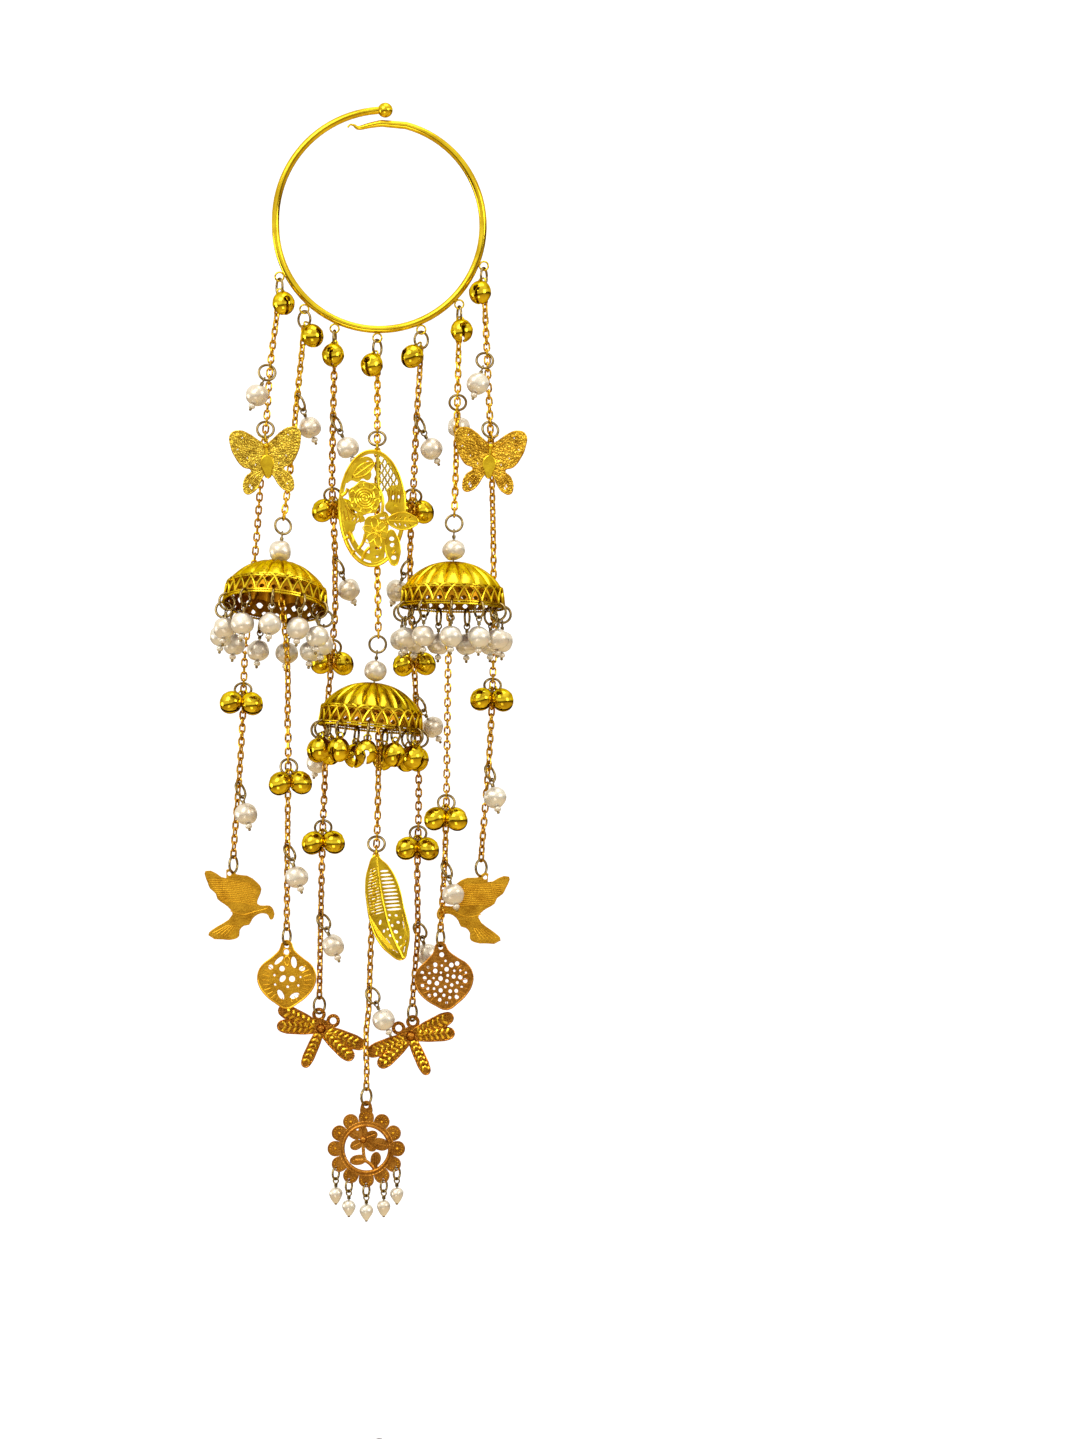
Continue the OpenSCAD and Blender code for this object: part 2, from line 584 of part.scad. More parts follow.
module sun_flower() {
    translate([-0.6, 2.2]) {
        for (k = [0:4]) rotate(72 * k) translate([0, 0.6]) lens(3.6, 2.1);
        circle(r = 1, $fn = wire_fn);
    }
    polygon([[-0.9, 2], [-0.3, 2], [1.2, -6.9], [0.2, -7.1]]);
    translate([0.2, -2.6]) rotate(65) lens(5, 1.9);
    translate([0.4, -3.6]) rotate(-60) lens(5, 1.9);
    translate([-1, 2.4]) rotate(10) translate([-0.3, 0]) square([0.6, 5]);
    translate([-1, 2.6]) rotate(75) translate([-0.3, 0]) square([0.6, 6.2]);
    translate([0, 2.4]) rotate(-80) translate([-0.3, 0]) square([0.6, 6.8]);
}

// A scalloped disc with a flower in its round opening
module sun_disc() {
    color("darkgoldenrod") at_sun() {
        plate(charm_t) difference() {
            union() {
                translate([0, sun_z]) {
                    difference() {
                        union() {
                            circle(r = sun_r, $fn = 96);
                            for (k = [0:11]) rotate(30 * k) translate([sun_r - 0.4, 0]) circle(r = 2.5, $fn = 32);
                        }
                        circle(r = sun_open_r, $fn = 96);
                    }
                    sun_flower();
                }
                translate([-1.7, -2.4]) square([3.4, 2.6]);
                translate([0, charm_hole_z + 0.2]) circle(r = 1.7, $fn = 32);
            }
            charm_hole();
            for (a = drop_angles) translate([drop_at(a).x, drop_at(a).z]) circle(r = 0.75, $fn = wire_fn);
        }
        translate([0, 0, sun_z]) torus(sun_open_r + 0.9, 1.1);
        for (k = [0:11]) if (k < 7 || k > 11) translate([0, -0.3, sun_z] + polar(sun_r + 0.3, 30 * k)) sphere(r = 0.7, $fn = wire_fn);
    }
}

small_eye_z = -2 * small_ring_r + (small_ring_wire_d + eye_wire_d) / 2 - 0.1 - eye_r;
small_pearl_z = small_eye_z - eye_r - neck_len - gap - small_pearl_d / 2;
drop_turn = 60;

// A small ring through the disc with the pin of its pearl, as one wire
module sun_wires() {
    color("khaki") at_sun() for (a = drop_angles) translate(drop_at(a) + [0, 0, 0.05]) {
        rotate([0, 0, drop_turn]) translate([0, 0, -small_ring_r]) torus(small_ring_r, small_ring_wire_d);
        rotate([0, 0, drop_turn + 90]) pin_stem(small_eye_z, small_pearl_z - small_pearl_d / 2 - 1);
        translate([0, 0, small_pearl_z - small_pearl_d / 2 - 1]) sphere(d = pin_d + 0.4, $fn = wire_fn);
    }
}

module sun_pearls() {
    color("ivory") at_sun() for (a = drop_angles)
        translate(drop_at(a) + [0, 0, 0.05 + small_pearl_z]) pearl(small_pearl_d);
}

bangle();
for (s = [0:6]) {
    chain(s);
    jump_rings(s);
    bells(s);
    pearls(s);
    head_pins(s);
}
for (u = [0:2]) {
    umbrella(u);
    fringe_wires(u);
}
fringe_pearls(0);  // fringe_pearls_1
fringe_pearls(1);  // fringe_pearls_2
fringe_bells(2);  // fringe_bells_3
crown_pearls();
eye_pins();
butterfly(0, 1);  // butterfly_1
butterfly(6, 1);  // butterfly_2
bird(0, 4);  // bird_1
bird(6, 4);  // bird_2
leaf(1, 4);  // leaf_1
leaf(5, 4);  // leaf_2
dragonfly(2, 7);  // dragonfly_1
dragonfly(4, 7);  // dragonfly_2
oval_charm();
feather();
sun_disc();
sun_wires();
sun_pearls();
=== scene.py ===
"""The dressed kalire bridal ornament: links, bells, pearls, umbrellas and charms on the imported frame."""
import math

import bmesh
import bpy
import numpy as np
from mathutils import Matrix, Vector, noise


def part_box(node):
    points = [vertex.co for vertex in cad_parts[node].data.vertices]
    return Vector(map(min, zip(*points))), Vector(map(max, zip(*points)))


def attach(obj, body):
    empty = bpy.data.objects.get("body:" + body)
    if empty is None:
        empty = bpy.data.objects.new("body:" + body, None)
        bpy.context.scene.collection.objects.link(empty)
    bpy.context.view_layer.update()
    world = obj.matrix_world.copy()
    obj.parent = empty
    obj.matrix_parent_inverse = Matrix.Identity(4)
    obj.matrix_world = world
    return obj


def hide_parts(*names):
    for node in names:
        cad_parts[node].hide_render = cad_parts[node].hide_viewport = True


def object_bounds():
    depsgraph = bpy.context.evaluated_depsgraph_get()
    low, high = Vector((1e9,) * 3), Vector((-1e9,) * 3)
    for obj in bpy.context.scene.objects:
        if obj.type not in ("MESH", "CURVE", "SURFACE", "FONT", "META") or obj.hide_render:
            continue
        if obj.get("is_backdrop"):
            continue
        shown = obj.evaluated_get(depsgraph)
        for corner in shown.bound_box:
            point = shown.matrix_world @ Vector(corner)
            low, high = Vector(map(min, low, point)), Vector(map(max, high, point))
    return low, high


bl_info = {
    "name": "Kalire bridal ornament",
    "version": (1, 0, 0),
    "blender": (4, 5, 0),
    "location": "3D View > Sidebar > Kalire",
    "description": "Makes a hanging bridal ornament with chains, bells, pearls, umbrellas and charms",
    "category": "Add Mesh",
}

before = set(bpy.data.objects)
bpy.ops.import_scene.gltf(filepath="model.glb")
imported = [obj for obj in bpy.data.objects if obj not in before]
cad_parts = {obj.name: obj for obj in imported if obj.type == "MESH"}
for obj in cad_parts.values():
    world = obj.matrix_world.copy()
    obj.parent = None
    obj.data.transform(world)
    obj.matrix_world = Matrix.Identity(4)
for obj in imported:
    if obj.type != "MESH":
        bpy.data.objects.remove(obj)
CAD_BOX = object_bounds()

MM = 0.001
PIXEL = 0.32 * MM
STRANDS = range(1, 8)
MAIN_BODY = "bangle_and_strands"
SUN_BODY = "sun_pendant"
DOWN = Vector((0, 0, -1))
HERE = Matrix()

# The loose solids of each CAD node that has been read
KNOWN = {}

# The photograph's middle and the pixel at the frame's origin
PHOTO_MIDDLE = (540, 720)
PHOTO_ORIGIN = (379.3, 125.8)

# How the source leaves room round a ring's wire where it passes through a chain
TUBE_OVER = 0.5
RING_WIRE = 0.7
CHAIN_BREAK = 3.0

# The bangle's own sizes in the source
BANGLE_RADIUS = 33.2
BANGLE_MIDDLE = -32
BANGLE_WIRE = 2.4
LOOP_OUTSIDE = 3.4

# Eyes, stems and stamped charms
EYE_RADIUS = 0.95
EYE_WIRE = 0.5
STEM_RADIUS = 0.28
BAND_HEIGHT = 6.8
SCATTER_TURN = 2.399

# The strand that carries each charm, whether it is mirrored, and how far it turns to hang, in degrees
CHARMS = {
    "butterfly_1": (1, False, -4), "butterfly_2": (7, False, 4),
    "bird_1": (1, False, 0), "bird_2": (7, True, 5),
    "leaf_1": (2, False, 0), "leaf_2": (6, False, -6),
    "dragonfly_1": (3, False, 24), "dragonfly_2": (5, True, -24),
    "oval_charm": (4, False, 0), "feather": (4, False, 0), "sun_disc": (4, False, 0),
}

# Each gold plate's colour or its property's name, roughness, shade, grain, scale of the grain, dents and
# scale of the patches
PLATES = {
    "bright": ("bright_gold", 0.16, 0.3, 0.03, 900, 0, 140),
    "dome": ("bright_gold", 0.2, 0.45, 0.08, 700, 0, 260),
    # The painted shade gold: a dark colour that stands in for the shade under the domes, behind the bands'
    # arches and in the oval's grooves and creases.
    "recess": ((0.4, 0.19, 0.008), 0.34, 0.4, 0.1, 900, 0, 300),
    "bell": ("bright_gold", 0.13, 0.45, 0.05, 500, 0, 420),
    "chain": ("chain_gold", 0.22, 0.4, 0.06, 1200, 0, 500),
    "ring": ("ring_gold", 0.22, 0.4, 0.04, 900, 0, 320),
    "charm": ("charm_gold", 0.34, 0.25, 0.12, 1500, 0.1, 240),
    "glitter": ((0.74, 0.54, 0.06), 0.24, 0.5, 0.4, 2600, 0.45, 420),
    "yellow": ((0.86, 0.62, 0.03), 0.28, 0.3, 0.1, 900, 0, 260),
    "olive": ((0.5, 0.38, 0.03), 0.28, 0.3, 0.1, 900, 0, 260),
    "dark": ((0.5, 0.22, 0.03), 0.34, 0.35, 0.12, 1500, 0.2, 300),
    "dragonfly": ((0.44, 0.18, 0.02), 0.24, 0.4, 0.2, 1300, 0.3, 500),
    "ridge": ((0.9, 0.58, 0.04), 0.2, 0.45, 0.1, 1300, 0, 700),
}


def size_property(name, about, value, low, kind=bpy.props.FloatProperty):
    return kind(name=name, description=about, default=value, min=low)


def colour_property(name, about, value):
    return bpy.props.FloatVectorProperty(name=name, description=about, subtype="COLOR", default=value)


class KalireSizes(bpy.types.PropertyGroup):
    link_length: size_property("Link length", "Outside length of a chain link, in millimetres", 3.7, 2)
    link_width: size_property("Link width", "Outside width of a chain link, in millimetres", 2.4, 1)
    link_wire: size_property("Link wire", "Thickness of a chain link's wire, in millimetres", 0.7, 0.2)
    seed_bead: size_property("Seed bead", "Diameter of the bead under a pearl, in millimetres", 2.3, 1)
    pearl_bumps: size_property("Pearl bumps", "How uneven a pearl is, in millimetres", 0.24, 0)
    petals: size_property("Petals", "Number of raised petals round a dome", 18, 6, bpy.props.IntProperty)
    lattice: size_property("Lattice", "Number of arches round a band", 26, 12, bpy.props.IntProperty)


class KalireColours(bpy.types.PropertyGroup):
    bright_gold: colour_property("Bright gold", "Colour of the bangle and umbrellas", (0.86, 0.65, 0.03))
    chain_gold: colour_property("Chain gold", "Colour of the chains", (0.9, 0.57, 0.04))
    ring_gold: colour_property("Ring gold", "Colour of the jump rings and pins", (0.36, 0.27, 0.11))
    charm_gold: colour_property("Charm gold", "Colour of the stamped charms", (0.78, 0.44, 0.03))
    pearl: colour_property("Pearl", "Colour of the pearls", (0.68, 0.63, 0.52))


# Reading the frame

def islands(node):
    """The vertices of each loose solid of a CAD node in millimetres, the highest first."""
    if node in KNOWN:
        return KNOWN[node]
    bm = bmesh.new()
    bm.from_mesh(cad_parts[node].data)
    bmesh.ops.remove_doubles(bm, verts=bm.verts, dist=1e-6)
    bm.verts.ensure_lookup_table()
    seen = set()
    found = []
    for vert in bm.verts:
        if vert.index in seen:
            continue
        seen.add(vert.index)
        stack, part = [vert], []
        while stack:
            v = stack.pop()
            part.append(v.co / MM)
            for edge in v.link_edges:
                other = edge.other_vert(v)
                if other.index not in seen:
                    seen.add(other.index)
                    stack.append(other)
        found.append(np.array(part))
    bm.free()
    found.sort(key=lambda p: (-round(float(p[:, 2].max()), 2), round(float(p[:, 0].mean()), 2)))
    KNOWN[node] = found
    return found


def principal(points):
    """The middle of some points, and the directions in which they spread most, less and least."""
    centre = points.mean(axis=0)
    vectors = np.linalg.eigh(np.cov((points - centre).T))[1]
    return Vector(centre), Vector(vectors[:, 2]), Vector(vectors[:, 1]), Vector(vectors[:, 0])


def downward(axis):
    return -axis if axis.z > 0 else axis


def spread(points, origin, axis):
    along = (points - np.array(origin)) @ np.array(axis)
    return float(along.min()), float(along.max())


def ring_facts(points):
    """Centre, normal, radius and wire of a plain ring."""
    centre, _, _, normal = principal(points)
    flat = points - np.array(centre)
    flat = flat - np.outer(flat @ np.array(normal), np.array(normal))
    low, high = spread(points, centre, normal)
    wire = high - low
    return centre, normal, float(np.linalg.norm(flat, axis=1).max()) - wire / 2, wire


def moved(x, y, z):
    return Matrix.Translation((x, y, z))


def turned(degrees, axis):
    return Matrix.Rotation(math.radians(degrees), 4, axis)


def polar(x, z, reach, angle):
    """A flat point at a distance and an angle from another."""
    return x + reach * math.cos(angle), z + reach * math.sin(angle)


def level(normal):
    """The way up within the plane that a normal stands on."""
    return -DOWN + normal * normal.dot(DOWN)


def basis(origin, up, face):
    """A matrix with its Z along up, and its Y as near to face as it can be."""
    z = up.normalized()
    y = (face - z * face.dot(z)).normalized()
    x = y.cross(z)
    turned = Matrix((x, y, z)).transposed().to_4x4()
    return Matrix.Translation(origin) @ turned


# Making shapes

def stamp(bm, template, matrix):
    """Adds a copy of a template mesh, placed by a matrix."""
    start = len(bm.verts)
    bm.from_mesh(template)
    bm.verts.ensure_lookup_table()
    bmesh.ops.transform(bm, matrix=matrix, verts=bm.verts[start:])


def as_template(bm, name):
    mesh = bpy.data.meshes.new(name)
    bmesh.ops.recalc_face_normals(bm, faces=bm.faces)
    bm.to_mesh(mesh)
    bm.free()
    return mesh


def evaluated(obj):
    """An object's finished mesh, and the object is deleted."""
    depsgraph = bpy.context.evaluated_depsgraph_get()
    mesh = bpy.data.meshes.new_from_object(obj.evaluated_get(depsgraph))
    data = obj.data
    bpy.data.objects.remove(obj)
    if isinstance(data, bpy.types.Curve):
        bpy.data.curves.remove(data)
    return mesh


def smooth_row(points, steps):
    """More points along a smooth line through the points."""
    row = []
    for k in range(1, len(points) - 2):
        a, b, c, d = points[k - 1:k + 3]
        for step in range(steps):
            t = step / steps
            row.append(0.5 * (2 * b + (c - a) * t + (2 * a - 5 * b + 4 * c - d) * t * t
                              + (3 * b - a - 3 * c + d) * t ** 3))
    return row + [points[-2], points[-1]]


def curve_mesh(splines, dimensions, closed, extrude=0.0, bevel=0.0, sides=1, smooth=True, detail=3):
    """A mesh from curves through points: a flat pierced plate in 2D, or round wires in 3D."""
    data = bpy.data.curves.new("line", "CURVE")
    data.dimensions = dimensions
    data.fill_mode = "BOTH" if dimensions == "2D" else "FULL"
    data.extrude = extrude
    data.bevel_depth = bevel
    data.bevel_resolution = sides
    data.resolution_u = detail
    data.use_fill_caps = dimensions == "3D"
    for points in splines:
        spline = data.splines.new("BEZIER" if smooth else "POLY")
        row = spline.bezier_points if smooth else spline.points
        row.add(len(points) - 1)
        for p, place in zip(row, points):
            place = Vector((place[0], place[1], place[2] if len(place) > 2 else 0))
            p.co = place if smooth else (*place, 1)
            if smooth:
                p.handle_left_type = "AUTO"
                p.handle_right_type = "AUTO"
        spline.use_cyclic_u = closed
    return evaluated(show(bpy.data.objects.new("line", data)))


def add_wires(bm, lines, radius, matrix, closed=False, sides=1, smooth=True, detail=3):
    """Round wires through rows of points."""
    stamp(bm, curve_mesh(lines, "3D", closed, 0, radius, sides, smooth, detail), matrix)


def raise_lines(bm, lines, y, radius, place, **more):
    """Round wires through rows of flat points, stood up in the XZ plane at a distance from it."""
    add_wires(bm, [[(x, y, z) for x, z in line] for line in lines], radius, place, **more)


def add_plate(bm, outlines, thickness, matrix, edge=0.1, detail=4):
    """A flat plate in the XZ plane; outlines inside the first are cut out of it."""
    flat = curve_mesh(outlines, "2D", True, thickness / 2 - edge, edge, 1, True, detail)
    stamp(bm, flat, matrix @ turned(90, "X"))


def paint(bm, start, slot, test=None):
    """Gives the faces made since a count another of the piece's materials."""
    bm.faces.ensure_lookup_table()
    for face in bm.faces[start:]:
        if test is None or test(face):
            face.material_index = slot


def spin(bm, verts, edges, axis, steps):
    """Turns a profile once round an axis through the origin."""
    bmesh.ops.spin(bm, geom=verts + edges, cent=(0, 0, 0), axis=axis, dvec=(0, 0, 0), angle=math.tau,
                   steps=steps, use_merge=True, use_duplicate=False)


def ring_template(radius, wire, steps, sides, beaded=0.0):
    """A ring round Y; a beaded one has every second section thinner."""
    bm = bmesh.new()
    made = bmesh.ops.create_circle(bm, segments=sides, radius=wire / 2, matrix=moved(radius, 0, 0))
    spin(bm, made["verts"], bm.edges[:], (0, 1, 0), steps)
    if beaded:
        for v in bm.verts:
            turn = math.atan2(v.co.z, v.co.x) / math.tau * steps
            if round(turn) % 2:
                middle = Vector((v.co.x, 0, v.co.z)).normalized() * radius
                v.co = middle + (v.co - middle) * beaded
    return as_template(bm, "ring")


def add_ball(bm, radius, place, spot=(0, 0, 0), detail=2):
    matrix = place @ Matrix.Translation(spot)
    bmesh.ops.create_icosphere(bm, subdivisions=detail, radius=radius, matrix=matrix)


def scatter(bm, place, middle, count, gap, radius, squash=1.0):
    """Grains laid out in a spiral, evenly round a middle."""
    x, y, z = middle
    for k in range(count):
        a, reach = k * SCATTER_TURN, gap * math.sqrt(k + 1)
        spot = (x + reach * math.cos(a), y, z + reach * math.sin(a) * squash)
        add_ball(bm, radius, place, spot, 1)


def revolve(profile, steps):
    """A closed shape from a closed profile of radius and height, turned round Z."""
    bm = bmesh.new()
    verts = [bm.verts.new((r, 0, z)) for r, z in profile]
    edges = [bm.edges.new((verts[i - 1], verts[i])) for i in range(len(verts))]
    spin(bm, verts, edges, (0, 0, 1), steps)
    bmesh.ops.remove_doubles(bm, verts=bm.verts, dist=1e-5)
    bmesh.ops.recalc_face_normals(bm, faces=bm.faces)
    return bm


def show(obj):
    bpy.context.scene.collection.objects.link(obj)
    return obj


def finish_piece(name, bm, materials, node, sharp, body=MAIN_BODY):
    """Turns a bmesh in millimetres into a piece that rides on its body in place of a CAD node."""
    bmesh.ops.recalc_face_normals(bm, faces=bm.faces)
    bmesh.ops.scale(bm, vec=(MM, MM, MM), verts=bm.verts)
    for face in bm.faces:
        face.smooth = True
    for edge in bm.edges:
        if len(edge.link_faces) == 2:
            edge.smooth = edge.calc_face_angle(0) < math.radians(sharp)
    mesh = bpy.data.meshes.new(name)
    bm.to_mesh(mesh)
    bm.free()
    for made in materials:
        mesh.materials.append(made)
    obj = show(bpy.data.objects.new(name, mesh))
    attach(obj, body)
    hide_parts(node)


# Materials

def colours():
    return bpy.context.scene.kalire_colours


def sizes():
    return bpy.context.scene.kalire_sizes


def fill(node, values):
    for name, value in values.items():
        node.inputs[name].default_value = value


def add_node(tree, kind, values=None):
    node = tree.nodes.new("ShaderNode" + kind)
    fill(node, values or {})
    return node


def add_ramp(tree, stops):
    """A colour ramp with a colour at each stop, the first two taking the places of its own."""
    ramp = add_node(tree, "ValToRGB")
    elements = ramp.color_ramp.elements
    for k, (at, colour) in enumerate(stops):
        stop = elements[k] if k < 2 else elements.new(at)
        stop.position = at
        stop.color = (*colour, 1)
    return ramp


def join(tree, *rows):
    """Links an output of one node to an input of another for each row."""
    for source, output, target, entry in rows:
        tree.links.new(source.outputs[output], target.inputs[entry])


def new_material(name, values):
    made = bpy.data.materials.new(name)
    made.use_nodes = True
    shader = made.node_tree.nodes["Principled BSDF"]
    fill(shader, values)
    return made, made.node_tree, shader


def gold(name, colour, roughness, shade, grain, grain_scale, dents, patch_scale):
    """Plated brass with uneven colour, fine grain and, where asked, hammered dents."""
    tint = (*[0.75 * c for c in colour], 1)
    made, tree, shader = new_material(name, {"Metallic": 1.0, "Specular Tint": tint})
    place = add_node(tree, "TexCoord")
    patches = add_node(tree, "TexNoise", {"Scale": patch_scale, "Detail": 3.0})
    shaded = [c * (1 - shade) * f for c, f in zip(colour, (1, 0.86, 0.7))]
    ramp = add_ramp(tree, ((0.3, shaded), (0.62, colour)))
    grains = add_node(tree, "TexNoise", {"Scale": grain_scale, "Detail": 2.0})
    wear = add_node(tree, "MapRange", {"To Min": roughness * 0.7, "To Max": roughness * 1.5})
    bump = add_node(tree, "Bump", {"Strength": grain, "Distance": 0.3 * MM})
    join(tree, (place, "Object", patches, "Vector"), (place, "Object", grains, "Vector"),
         (patches, "Fac", ramp, "Fac"), (ramp, "Color", shader, "Base Color"),
         (patches, "Fac", wear, "Value"), (wear, "Result", shader, "Roughness"),
         (grains, "Fac", bump, "Height"))
    last = bump
    if dents:
        cells = add_node(tree, "TexVoronoi", {"Scale": 1400.0})
        last = add_node(tree, "Bump", {"Strength": dents, "Distance": 0.4 * MM})
        join(tree, (place, "Object", cells, "Vector"), (cells, "Distance", last, "Height"),
             (bump, "Normal", last, "Normal"))
    join(tree, (last, "Normal", shader, "Normal"))
    return made


def plate(kind, number=0, colour=None):
    """A kind of gold plate, with a number and a colour of its own where pieces of it differ."""
    name = f"{kind}_gold_plate" + (f"_{number}" if number else "")
    usual, *rest = PLATES[kind]
    if isinstance(usual, str):
        usual = tuple(getattr(colours(), usual))
    return bpy.data.materials.get(name) or gold(name, colour or usual, *rest)


def chain_gold(strand):
    """Yellow gold in the middle, redder towards the strands that show as copper, and redder below."""
    red = {3: 0.42, 5: 0.42, 1: 0.2, 7: 0.2}.get(strand, 0)
    made = plate("chain", strand, tuple(Vector(colours().chain_gold).lerp(Vector((0.4, 0.17, 0.06)), red)))
    tree = made.node_tree
    shader = tree.nodes["Principled BSDF"]
    was = shader.inputs["Base Color"].links[0].from_socket
    place, parts = add_node(tree, "TexCoord"), add_node(tree, "SeparateXYZ")
    depth = add_node(tree, "MapRange", {"From Min": -0.13, "From Max": -0.24, "To Max": 0.5})
    mix = add_node(tree, "Mix")
    mix.data_type = "RGBA"
    fill(mix, {"B": (0.42, 0.19, 0.05, 1)})
    tree.links.new(was, mix.inputs["A"])
    join(tree, (place, "Object", parts, "Vector"), (parts, "Z", depth, "Value"),
         (depth, "Result", mix, "Factor"), (mix, "Result", shader, "Base Color"))
    return made


def pearl_lustre():
    made = bpy.data.materials.get("pearl_lustre")
    if made:
        return made
    tint = tuple(colours().pearl)
    made, tree, shader = new_material("pearl_lustre", {
        "Metallic": 0.62, "Roughness": 0.34, "Coat Weight": 0.6, "Coat Roughness": 0.24,
        "Subsurface Weight": 0.04, "Subsurface Scale": 0.002})
    place = add_node(tree, "TexCoord")
    clouds = add_node(tree, "TexNoise", {"Scale": 110.0, "Detail": 2.0})
    shaded = (tint[0] * 0.94, tint[1] * 0.88, tint[2] * 0.82)
    ramp = add_ramp(tree, ((0.35, shaded), (0.65, tint), (0.5, (tint[0], tint[1] * 0.95, tint[2] * 0.9))))
    ripple = add_node(tree, "Bump", {"Strength": 0.015, "Distance": 0.3 * MM})
    join(tree, (place, "Object", clouds, "Vector"), (clouds, "Fac", ramp, "Fac"),
         (ramp, "Color", shader, "Base Color"), (clouds, "Fac", ripple, "Height"),
         (ripple, "Normal", shader, "Normal"))
    return made


# The rings that other pieces hang from

def strand_rings(strand):
    """The facts of each jump ring of a strand, the top ring first."""
    return [ring_facts(part) for part in islands(f"jump_rings_{strand}")]


def ring_bottom(ring):
    centre, normal, radius, _ = ring
    return centre + (DOWN - normal * DOWN.dot(normal)).normalized() * radius


def nearest_ring(strand, place):
    return min(strand_rings(strand), key=lambda ring: (ring_bottom(ring) - place).length)


def charm_frame(name):
    """The matrix of a charm's own XZ plane, with its origin on its ring's bottom wire."""
    strand, mirrored, spin = CHARMS[name]
    low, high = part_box(name)
    top = Vector(((low.x + high.x) / 2, (low.y + high.y) / 2, high.z)) / MM
    hook = ring_bottom(nearest_ring(strand, top))
    matrix = Matrix.Translation(hook) @ turned(spin, "Y")
    if mirrored:
        matrix = matrix @ Matrix.Scale(-1, 4, (1, 0, 0))
    return matrix


# Chains

def link_template():
    """One oval link in the XZ plane, its length along Z."""
    s = sizes()
    half_width = (s.link_width - s.link_wire) / 2
    straight = (s.link_length - s.link_wire) / 2 - half_width
    bends = [math.radians(a) for a in (0, 45, 90, 135, 180)]
    top = [(half_width * math.cos(a), 0, straight + half_width * math.sin(a)) for a in bends]
    under = [(-x, 0, -z) for x, _, z in top]
    return curve_mesh([top + under], "3D", True, 0, s.link_wire / 2, 1, False)


def centreline(part):
    """The points down the middle of one stretch of chain tube."""
    levels = sorted({round(float(z), 2) for z in part[:, 2]}, reverse=True)
    line = []
    for level in levels:
        row = part[np.abs(part[:, 2] - level) < 0.02]
        if line and line[-1][2] - level < 0.2:
            continue
        line.append(row.mean(axis=0))
    return [Vector(p) for p in line]


def point_at(line, distance):
    """The place and the direction at a distance down a line of points."""
    for a, b in zip(line, line[1:]):
        step = (b - a).length
        if distance <= step or b is line[-1]:
            return a + (b - a) * (distance / step), (b - a).normalized()
        distance -= step


def wire_azimuth(rings, place):
    """The direction seen from above of the nearest ring's wire at a place."""
    def miss(ring):
        return abs((ring[0] - place).length - ring[2])
    ring = min((r for r in rings if (r[0] - place).length < 2 * r[2]), key=miss)
    wire = ring[1].cross(place - ring[0])
    return math.atan2(wire.y, wire.x)


def add_links(bm, link, line, start_turn, end_turn, last):
    """Links down a line, the end ones turned for their rings' wires, and a closing one on a last line."""
    pitch = sizes().link_length - 2 * sizes().link_wire
    length = sum((b - a).length for a, b in zip(line, line[1:]))
    count = max(1, math.ceil(length / pitch - 0.001))
    quarter = math.pi / 2
    twist = (end_turn - start_turn - count * quarter + quarter) % math.pi - quarter
    for k in range(count + last):
        place, down = point_at(line, length * k / count)
        turn = start_turn + k * quarter + twist * k / count
        stamp(bm, link, basis(place, -down, Vector((math.cos(turn), math.sin(turn), 0))))


def make_chain(strand, link):
    bm = bmesh.new()
    rings = strand_rings(strand)
    parts = [centreline(part) for part in islands(f"chain_{strand}")]
    seat = (sizes().link_length - 2 * sizes().link_wire) / 2 - RING_WIRE / 2
    for i, line in enumerate(parts):
        last = i == len(parts) - 1 or line[-1].z - parts[i + 1][0].z > CHAIN_BREAK
        if i == 0:
            hook = ring_bottom(rings[0])
            head = Vector((line[0].x, line[0].y, hook.z + 0.15)) + DOWN * seat
            start_turn = wire_azimuth(rings[:1], hook)
        elif parts[i - 1][-1].z - line[0].z > CHAIN_BREAK:
            head = line[0] - DOWN * 0.5 + DOWN * seat
            start_turn = math.pi / 2
        else:
            head = parts[i - 1][-1] + DOWN * TUBE_OVER
            start_turn = wire_azimuth(rings, head)
        foot = line[-1] + DOWN * TUBE_OVER
        end_turn = wire_azimuth(rings, foot)
        if last:
            foot = foot - DOWN * seat
        middle = [p for p in line if head.z - 0.3 > p.z > foot.z + 0.3]
        add_links(bm, link, [head] + middle + [foot], start_turn, end_turn, last)
    finish_piece(f"link_chain_{strand}", bm, [chain_gold(strand)], f"chain_{strand}", 50)


class KALIRE_OT_chains(bpy.types.Operator):
    """Make the seven chains of oval links"""
    bl_idname = "kalire.chains"
    bl_label = "Chains"

    def execute(self, context):
        link = link_template()
        for strand in STRANDS:
            make_chain(strand, link)
        return {"FINISHED"}


# Bangle

